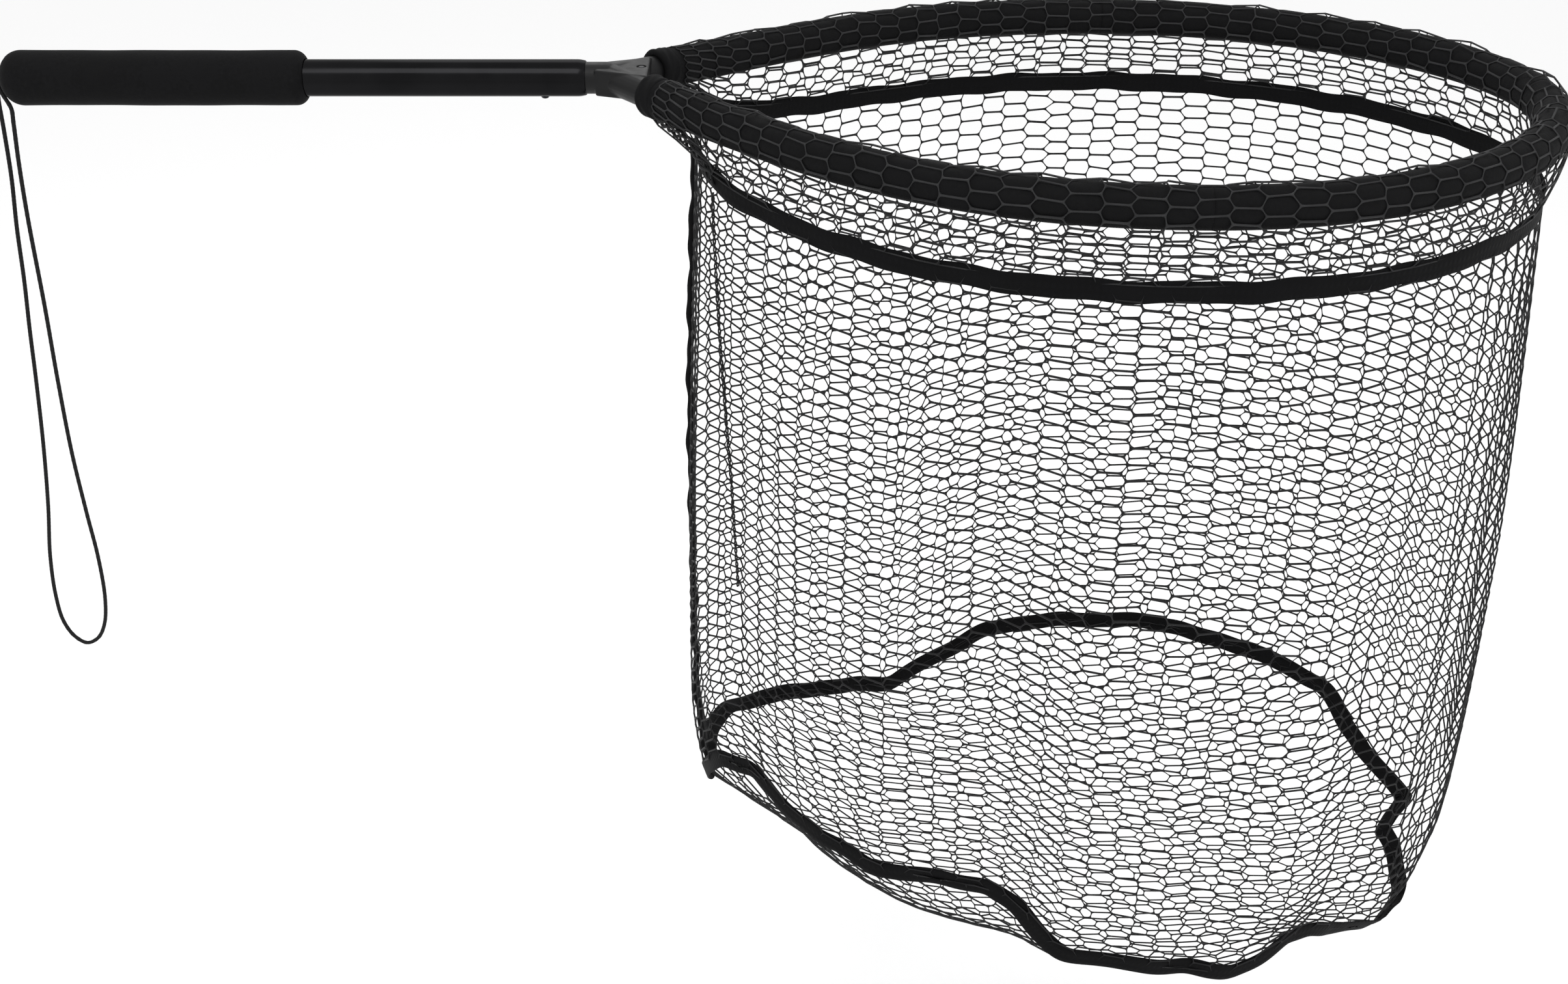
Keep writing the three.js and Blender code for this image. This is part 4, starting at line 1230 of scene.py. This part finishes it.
def apply_modifiers(made):
    """Puts the evaluated mesh in place of the piece's own, with no modifiers left."""
    graph = bpy.context.evaluated_depsgraph_get()
    baked = bpy.data.meshes.new_from_object(made.evaluated_get(graph))
    made.modifiers.clear()
    made.data = baked


def crease(made, degrees):
    """Smooth shading, with an edge where faces meet at more than that angle."""
    made.data.shade_smooth()
    made.data.set_sharp_from_angle(angle=math.radians(degrees))


def dress(name, material):
    """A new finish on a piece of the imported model."""
    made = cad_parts[name]
    made.data.materials.clear()
    made.data.materials.append(material)


class LANDINGNET_OT_yoke(bpy.types.Operator):
    """Add the moulded yoke with softened edges, and finish its screws"""

    bl_idname = "landingnet.yoke"
    bl_label = "Yoke"

    def execute(self, context):
        paint = context.scene.net_finish
        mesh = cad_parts["yoke"].data.copy()
        yoke = bpy.data.objects.new("moulded_yoke", mesh)
        context.scene.collection.objects.link(yoke)
        weld = yoke.modifiers.new("weld", "WELD")
        weld.merge_threshold = 0.00001
        remesh = yoke.modifiers.new("fine", "REMESH")
        remesh.mode, remesh.voxel_size, remesh.use_smooth_shade = "VOXEL", 0.0005, True
        relax = yoke.modifiers.new("soften", "SMOOTH")
        relax.factor, relax.iterations = 0.5, 7
        apply_modifiers(yoke)
        yoke.data.shade_smooth()
        yoke.data.materials.clear()
        yoke.data.materials.append(shared(moulded_nylon, "moulded_nylon", tuple(paint.nylon)))
        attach(yoke, "head")
        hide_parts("yoke")
        black = shared(machined_steel, "black_oxide_steel", tuple(paint.black_steel), 0.38)
        for name in ("yoke_screw", "hoop_screw_far", "hoop_screw_near"):
            dress(name, black)
        return {"FINISHED"}


class LANDINGNET_OT_latch(bpy.types.Operator):
    """Finish the snap button and its spring"""

    bl_idname = "landingnet.latch"
    bl_label = "Snap Button"

    def execute(self, context):
        paint = context.scene.net_finish
        dress("snap_button", shared(machined_steel, "black_oxide_steel", tuple(paint.black_steel), 0.38))
        spring = bpy.data.objects.new("leaf_spring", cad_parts["snap_spring"].data.copy())
        context.scene.collection.objects.link(spring)
        spring.data.materials.clear()
        spring.data.materials.append(shared(machined_steel, "spring_steel", tuple(paint.steel), 0.3))
        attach(spring, "head")
        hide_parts("snap_spring")
        # pressing the button folds the leaf: its top stays where it is and its foot rises as far as the button
        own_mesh(spring)
        return {"FINISHED"}


class LANDINGNET_OT_floats(bpy.types.Operator):
    """Add the foam floats, pressed in where the net's yarns cross them, and finish the hoop's tube"""

    bl_idname = "landingnet.floats"
    bl_label = "Floats"

    def execute(self, context):
        size, paint = context.scene.net_hoop, context.scene.net_finish
        dress("hoop_tube", shared(anodised_aluminium, "anodised_aluminium_bent", tuple(paint.tube), False))
        hoop, skirt = Hoop(), Skirt()
        joints, _ = net_nodes(skirt.place, skirt.columns, skirt.ROWS, False, 11)
        cells = net_cells(skirt.columns, skirt.ROWS, False)
        flat = joints.reshape(-1, 3)
        ends = np.stack([flat[cells], flat[np.roll(cells, -1, axis=1)]], axis=2).reshape(-1, 2, 3)
        samples = np.concatenate([ends[:, 0] * (1 - t) + ends[:, 1] * t for t in (0, 0.2, 0.4, 0.6, 0.8)])
        centre_z = hoop_drop(samples[:, 0])
        samples = samples[samples[:, 2] > centre_z - 0.006]
        tree = KDTree(len(samples))
        for i, p in enumerate(samples):
            tree.insert(p, i)
        tree.balance()
        material = shared(eva_foam, "eva_foam_skinned_float", tuple(paint.float_foam), 0.6, 0.82)
        gap, total, wide = size.float_joint, hoop.length, hoop.widest
        for name, start, stop in (
            ("float_rear_far", size.foam_start, wide),
            ("float_front_far", wide + gap, (total - gap) / 2),
            ("float_front_near", (total + gap) / 2, total - wide - gap),
            ("float_rear_near", total - wide, total - size.foam_start),
        ):
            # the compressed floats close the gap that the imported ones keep
            ends = [end if abs(end - 0.5 * total) > 0.5 * total - 0.1 else end + push for end, push in (
                (start, -0.45 * gap), (stop, 0.45 * gap))]
            count = int((stop - start) / 0.0022)
            s = np.linspace(ends[0], ends[1], count)
            centre, _, away = hoop.at(s)
            sides = 44
            angle = np.arange(sides) * 2 * math.pi / sides
            up = np.array((0, 0, 1.0))
            spokes = away[:, None] * np.cos(angle)[None, :, None] + up * np.sin(angle)[None, :, None]
            outer = size.foam_diameter / 2
            rings = []
            for radius in (outer, size.foam_bore / 2):
                grid = np.full((count, sides), radius)
                if radius == outer:
                    surface = (centre[:, None] + spokes * radius).reshape(-1, 3)
                    near = np.array([tree.find(p)[2] for p in surface]).reshape(count, sides)
                    press = np.exp(-((near / 0.0021) ** 2))
                    grid = grid + 0.0004 - 0.00085 * press
                    to_yoke = np.minimum(s - size.foam_start, total - size.foam_start - s)[:, None]
                    grid = grid - 0.0012 * np.exp(-to_yoke / 0.0015)
                rings.append(centre[:, None] + spokes * grid[..., None])
            points, faces = foam_shell(rings[0], rings[1])
            foam = outward(new_piece(f"foam_{name}", points, faces, material, "head"))
            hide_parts(name)
        return {"FINISHED"}


def foam_shell(outer, inner):
    """A tube wall between two sets of rings, closed at both ends."""
    n, m = outer.shape[:2]
    points = np.concatenate([outer.reshape(-1, 3), inner.reshape(-1, 3)])
    faces = []
    shift = n * m
    for i in range(n - 1):
        for j in range(m):
            a, b, c, d = i * m + j, (i + 1) * m + j, (i + 1) * m + (j + 1) % m, i * m + (j + 1) % m
            faces.append((a, b, c, d))
            faces.append((shift + a, shift + d, shift + c, shift + b))
    for i in (0, n - 1):
        for j in range(m):
            a, b = i * m + j, i * m + (j + 1) % m
            faces.append((a, b, shift + b, shift + a))
    return points, faces


class LANDINGNET_OT_skirt(bpy.types.Operator):
    """Add the net folded over the floats, its gathered hems at the yoke and the drawn edge below them"""

    bl_idname = "landingnet.skirt"
    bl_label = "Net Skirt"

    def execute(self, context):
        paint, hoop_size = context.scene.net_finish, context.scene.net_hoop
        # the yarn over the floats is drawn paler: painted sheen where it catches the light on the foam
        yarn = shared(nylon_yarn, "rubbed_nylon_yarn", tuple(paint.sheen_painted_yarn))
        foam = shared(eva_foam, "eva_foam_skinned_float", tuple(paint.float_foam), 0.6, 0.82)
        skirt = Skirt()
        joints, normal = net_nodes(skirt.place, skirt.columns, skirt.ROWS, False, 11)
        cells = net_cells(skirt.columns, skirt.ROWS, False)
        net = net_piece("skirt_net", joints, normal, cells, yarn, "head")
        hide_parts("net_skirt")
        hoop = skirt.hoop
        for name, side in (("far", 1), ("near", -1)):
            # the collar: a short foam sleeve that covers the end of the float and of the net
            s0, s1 = hoop_size.foam_start - 0.002, hoop_size.foam_start + 0.0115
            s = np.linspace(s0, s1, 26)
            s = s if side > 0 else hoop.length - s
            centre, _, away = hoop.at(s)
            sides = 72
            angle = np.arange(sides) * 2 * math.pi / sides
            t = np.linspace(0, 1, 26)[:, None]
            roll = np.sqrt(np.clip(1 - (2 * t - 1) ** 6, 0, 1))
            pleat = 0.0002 * np.sin(3 * angle + 5 * t) + 0.0002 * np.sin(5 * angle + 14 * t)
            radius = hoop_size.foam_diameter / 2 - 0.0006 + roll * (0.0017 + pleat) + 0.0004 * np.exp(-((t - 0.2) / 0.16) ** 2)
            spokes = away[:, None] * np.cos(angle)[None, :, None] + np.array((0, 0, 1.0)) * np.sin(angle)[None, :, None]
            outer = centre[:, None] + spokes * radius[..., None]
            inner = centre[:, None] + spokes * (np.full_like(radius, 0.0100))[..., None]
            points, faces = foam_shell(outer, inner)
            hem = outward(new_piece(f"foam_collar_{name}", points, faces, foam, "head"))
            edge = self.drawn_edge(skirt, side)
            points, faces = edge
            cord = outward(new_piece(f"drawn_edge_{name}", points, faces, yarn, "head"))
        return {"FINISHED"}

    def drawn_edge(self, skirt, side):
        """Four yarns twisted together, from the hem's underside down to the corner of the upper tape."""
        size = bpy.context.scene.net_hoop
        bag = bpy.context.scene.net_bag
        hoop = skirt.hoop
        s = size.foam_start + np.linspace(0.004, 0.062, 30)
        s_run = s if side > 0 else hoop.length - s
        centre, _, away = hoop.at(s_run)
        t = np.linspace(0, 1, 30)
        start_low = -(size.foam_diameter / 2 + 0.001)
        drop = start_low * (1 - t) + (upper_tape_height(centre[:, 0]) - centre[:, 2]) * t
        line = centre + away * (0.002 * t)[:, None]
        line[:, 2] = centre[:, 2] + drop + 0.004 * np.sin(math.pi * t)
        points, faces = [], []
        for k in range(4):
            phase = 2 * math.pi * k / 4
            twist = t * 2 * math.pi * 2.3 + phase
            spread = 0.0022 + 0.0012 * t
            shifted = line + away * (np.cos(twist) * spread)[:, None]
            shifted[:, 2] += np.sin(twist) * spread
            rings = sweep(smooth_line(shifted, 0.0015), 8, 0.00085 if k % 2 else 0.0011)
            p, f = skin(rings)
            faces += [tuple(i + len(points) for i in face) for face in f]
            points += p
        return points, faces


def ribbon(line, away, width, thickness, closed):
    """An upright tape along a line, with rounded edges: rings of a flat section."""
    half, thin = width / 2, thickness / 2
    section = [
        (thin, -half * 0.92), (thin * 1.15, -half * 0.45), (thin * 1.15, 0), (thin * 1.15, half * 0.45),
        (thin, half * 0.92), (thin * 0.5, half), (-thin * 0.5, half), (-thin, half * 0.92),
        (-thin * 1.15, half * 0.45), (-thin * 1.15, 0), (-thin * 1.15, -half * 0.45), (-thin, -half * 0.92),
        (-thin * 0.5, -half), (thin * 0.5, -half),
    ]
    along = np.roll(line, -1, axis=0) - np.roll(line, 1, axis=0) if closed else np.gradient(line, axis=0)
    along /= np.linalg.norm(along, axis=1)[:, None]
    up = np.cross(along, away)
    up /= np.linalg.norm(up, axis=1)[:, None]
    up = np.where(up[:, 2:3] < 0, -up, up)
    rings = np.stack([line + away * a + up * b for a, b in section], axis=1)
    run = np.concatenate([[0], np.cumsum(np.linalg.norm(np.diff(line, axis=0), axis=1))])
    across = np.array([b + half for _, b in section])
    uv = np.stack(np.broadcast_arrays(run[:, None], across[None, :]), axis=-1).reshape(-1, 2)
    return rings, uv, run[-1]


class LANDINGNET_OT_tapes(bpy.types.Operator):
    """Add the woven tapes round the top and bottom of the bag and down its rear seam"""

    bl_idname = "landingnet.tapes"
    bl_label = "Tapes"

    def execute(self, context):
        size, paint = context.scene.net_bag, context.scene.net_finish
        material = shared(woven_tape, "woven_polypropylene_tape", tuple(paint.tape))
        bag = Bag()
        around = np.arange(720) / 720
        turn = 2 * math.pi * around
        for name, node_name, depth, width in (
            ("upper_band", "upper_tape", 0.0, size.upper_tape),
            ("lower_band", "lower_tape", 1.0, size.lower_tape),
        ):
            line = bag.wall(around, np.full_like(around, depth))
            ripple = 0.0006 * np.sin(23 * turn + 1) + 0.0004 * np.sin(41 * turn + 2)
            line[:, 2] += ripple
            # the lower tape lies over with its bottom edge inwards, most of all at the front
            place = bag.flared(around, np.full_like(around, depth))
            along = (place[:, 0] - bag.centre) / np.abs(place[:, 0] - bag.centre).max()
            ends = np.clip(along * 2.2 - 1.1, 0, 1)
            ends = ends + np.clip(-along * 6 - 4.4, 0, 1) * np.clip(1 + place[:, 1] / 0.04, 0, 1)
            tilt = depth * (size.tape_tilt * (place[:, 1] > 0) + size.end_tilt * ends)
            tilt = np.convolve(np.concatenate([tilt[-15:], tilt, tilt[:15]]), np.full(31, 1 / 31), "valid")
            away = np.column_stack([bag.away(around), 0.05 * np.sin(13 * turn) - np.tan(tilt)])
            away /= np.linalg.norm(away, axis=1)[:, None]
            rings, uv, run = ribbon(line, away, width, size.tape_thickness, True)
            points, faces = skin(rings, closed=True)
            band = outward(new_piece(name, points, faces, material, "head"))
            crease(band, 50)
            add_uv(band, uv)
            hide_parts(node_name)
        depth = np.linspace(0.01, 0.995, 150)
        line = bag.wall(np.zeros_like(depth), depth)
        away = np.tile((-1.0, 0, 0), (len(depth), 1))
        line = line + away * 0.0012
        half, thin = size.seam_tape / 2, size.seam_thickness / 2
        wave = 0.0007 * np.sin(depth * 60) + 0.0005 * np.sin(depth * 131)
        section = [
            (-thin, -half * 0.7), (-thin, 0), (-thin, half * 0.7), (-thin * 0.4, half), (thin * 0.4, half),
            (thin, half * 0.7), (thin, 0), (thin, -half * 0.7), (thin * 0.4, -half), (-thin * 0.4, -half),
        ]
        rings = np.stack([
            line + away * (a + wave)[:, None] + np.array((0, 1.0, 0)) * (b * (1 + 40 * wave))[:, None]
            for a, b in ((np.full_like(depth, p), np.full_like(depth, q)) for p, q in section)
        ], axis=1)
        points, faces = skin(rings)
        seam = outward(new_piece("seam_band", points, faces, material, "head"))
        crease(seam, 50)
        run = np.abs(line[:, 2] - line[0, 2])
        across = np.array([q + half for _, q in section])
        uv = np.stack(np.broadcast_arrays(run[:, None], across[None, :]), axis=-1).reshape(-1, 2)
        add_uv(seam, np.concatenate([uv, [[0, 0], [run[-1], 0]]]))
        self.side_lacing(bag, shared(nylon_yarn, "dyed_nylon_yarn", tuple(paint.yarn)))
        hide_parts("seam_tape")
        return {"FINISHED"}


    def side_lacing(self, bag, yarn):
        """The yarn that laces two edges of the net together down the near wall, close to the handle."""
        t = np.linspace(0, 1, 140)
        places = np.interp(t, (0, 0.3, 1), (MOUTH_X + 0.089, MOUTH_X + 0.0945, MOUTH_X + 0.108))
        around = np.array([bag.share_of(x, False) for x in places])
        around = np.convolve(np.pad(around, 6, mode="edge"), np.ones(13) / 13, "valid")
        line = bag.wall(around, 0.02 + 0.62 * t)
        out = np.column_stack([bag.away(around), np.zeros_like(t)])
        points, faces = [], []
        for phase in (0, math.pi):
            twist = 2 * math.pi * 26 * t + phase
            strand = line + out * (0.0009 + 0.0006 * np.cos(twist))[:, None]
            strand[:, 0] += 0.0006 * np.sin(twist)
            p, f = skin(sweep(smooth_line(strand, 0.0016), 8, 0.0006))
            faces += [tuple(i + len(points) for i in face) for face in f]
            points += p
        lacing = outward(new_piece("side_lacing", points, faces, yarn, "head"))


class LANDINGNET_OT_bag(bpy.types.Operator):
    """Add the netting of the bag's wall and of its bottom"""

    bl_idname = "landingnet.bag"
    bl_label = "Net Bag"

    def execute(self, context):
        size, net, paint = context.scene.net_bag, context.scene.net_mesh, context.scene.net_finish
        yarn = shared(nylon_yarn, "dyed_nylon_yarn", tuple(paint.yarn))
        bag = Bag()
        columns, rows = net.columns_round, net.rows_down

        def wall(u, v):
            return bag.wall(u / columns, v / rows)

        joints, normal = net_nodes(wall, columns, rows, True, 5)
        cells = net_cells(columns, rows, True)
        made = net_piece("bag_net", joints, normal, cells, yarn, "head")
        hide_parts("bag_wall")
        self.bottom(bag, net, yarn, size)
        return {"FINISHED"}

    def bottom(self, bag, net, yarn, size):
        """The panel sewn into the lower tape: level meshes, hanging in a flat-bottomed sag."""
        shares = np.arange(720) / 720
        rim = bag.flared(shares, np.ones(720))
        angle = np.arctan2(rim[:, 1], rim[:, 0] - bag.centre)
        order = np.argsort(angle)
        reach = np.hypot(rim[:, 1], rim[:, 0] - bag.centre)[order]
        height = bag.lower_height(shares)[order]
        angle = angle[order]
        angle = np.concatenate([angle - 2 * math.pi, angle, angle + 2 * math.pi])
        reach, height = np.tile(reach, 3), np.tile(height, 3)
        low_x, low_y = rim[:, 0].min() - 0.06, rim[:, 1].min() - 0.01
        columns = int((rim[:, 0].max() + 0.05 - low_x) / net.column_pitch) // 2 * 2 + 2
        rows = int((rim[:, 1].max() - low_y) / net.row_pitch) + 2
        middle = size.bottom_height

        def place(u, v):
            y = low_y + v * net.row_pitch
            x = low_x + u * net.column_pitch - bag.centre - 0.2 * y
            a, far = np.arctan2(y, x), np.maximum(np.hypot(x, y), 1e-6)
            edge = np.interp(a, angle, reach)
            share = np.minimum(far / edge, 1)
            x, y = x * np.minimum(1, edge / far), y * np.minimum(1, edge / far)
            rim_z = np.interp(a, angle, height)
            ripple = 0.0015 * np.sin(x * 38 + y * 11) * np.sin(y * 31 + 1) * (1 - share**2)
            fullness = 4 - 2 * np.sin(a)
            z = rim_z + (middle - rim_z) * (1 - share**fullness) + ripple
            return np.stack([x + bag.centre, y, z], axis=-1)

        joints, normal = net_nodes(place, columns, rows, False, 8)
        cells = net_cells(columns, rows, False)
        middles = joints.reshape(-1, 3)[cells]
        spread = np.linalg.norm(middles - middles.mean(axis=1, keepdims=True), axis=2)
        x, y = middles[..., 0] - bag.centre, middles[..., 1]
        share = np.hypot(x, y) / np.interp(np.arctan2(y, x), angle, reach)
        inside = (share < 0.999).sum(axis=1) >= 2
        cells = cells[inside & (spread.max(axis=1) > 0.003)]
        made = net_piece("bottom_net", joints, normal, cells, yarn, "head")
        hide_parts("bag_bottom")


class LANDINGNET_PT_panel(bpy.types.Panel):
    """The landing net's sizes, colours and pieces"""

    bl_idname = "LANDINGNET_PT_panel"
    bl_label = "Landing Net"
    bl_space_type = "VIEW_3D"
    bl_region_type = "UI"
    bl_category = "Landing Net"

    def draw(self, context):
        layout = self.layout
        for piece in PIECES:
            layout.operator(piece.bl_idname)
        for name, group in GROUPS.items():
            box = layout.box()
            for field in group.__annotations__:
                box.prop(getattr(context.scene, name), field)


PIECES = (
    LANDINGNET_OT_stage,
    LANDINGNET_OT_wrist_cord,
    LANDINGNET_OT_grip,
    LANDINGNET_OT_handle_tube,
    LANDINGNET_OT_yoke,
    LANDINGNET_OT_latch,
    LANDINGNET_OT_floats,
    LANDINGNET_OT_tapes,
    LANDINGNET_OT_skirt,
    LANDINGNET_OT_bag,
)
CLASSES = (*GROUPS.values(), *PIECES, LANDINGNET_PT_panel)


def register():
    for item in CLASSES:
        bpy.utils.register_class(item)
    for name, group in GROUPS.items():
        setattr(bpy.types.Scene, name, PointerProperty(type=group))


def unregister():
    for name in GROUPS:
        delattr(bpy.types.Scene, name)
    for item in reversed(CLASSES):
        bpy.utils.unregister_class(item)


def main():
    register()
    for piece in PIECES:
        group, call = piece.bl_idname.split(".")
        getattr(getattr(bpy.ops, group), call)()


if __name__ == "__main__":
    main()
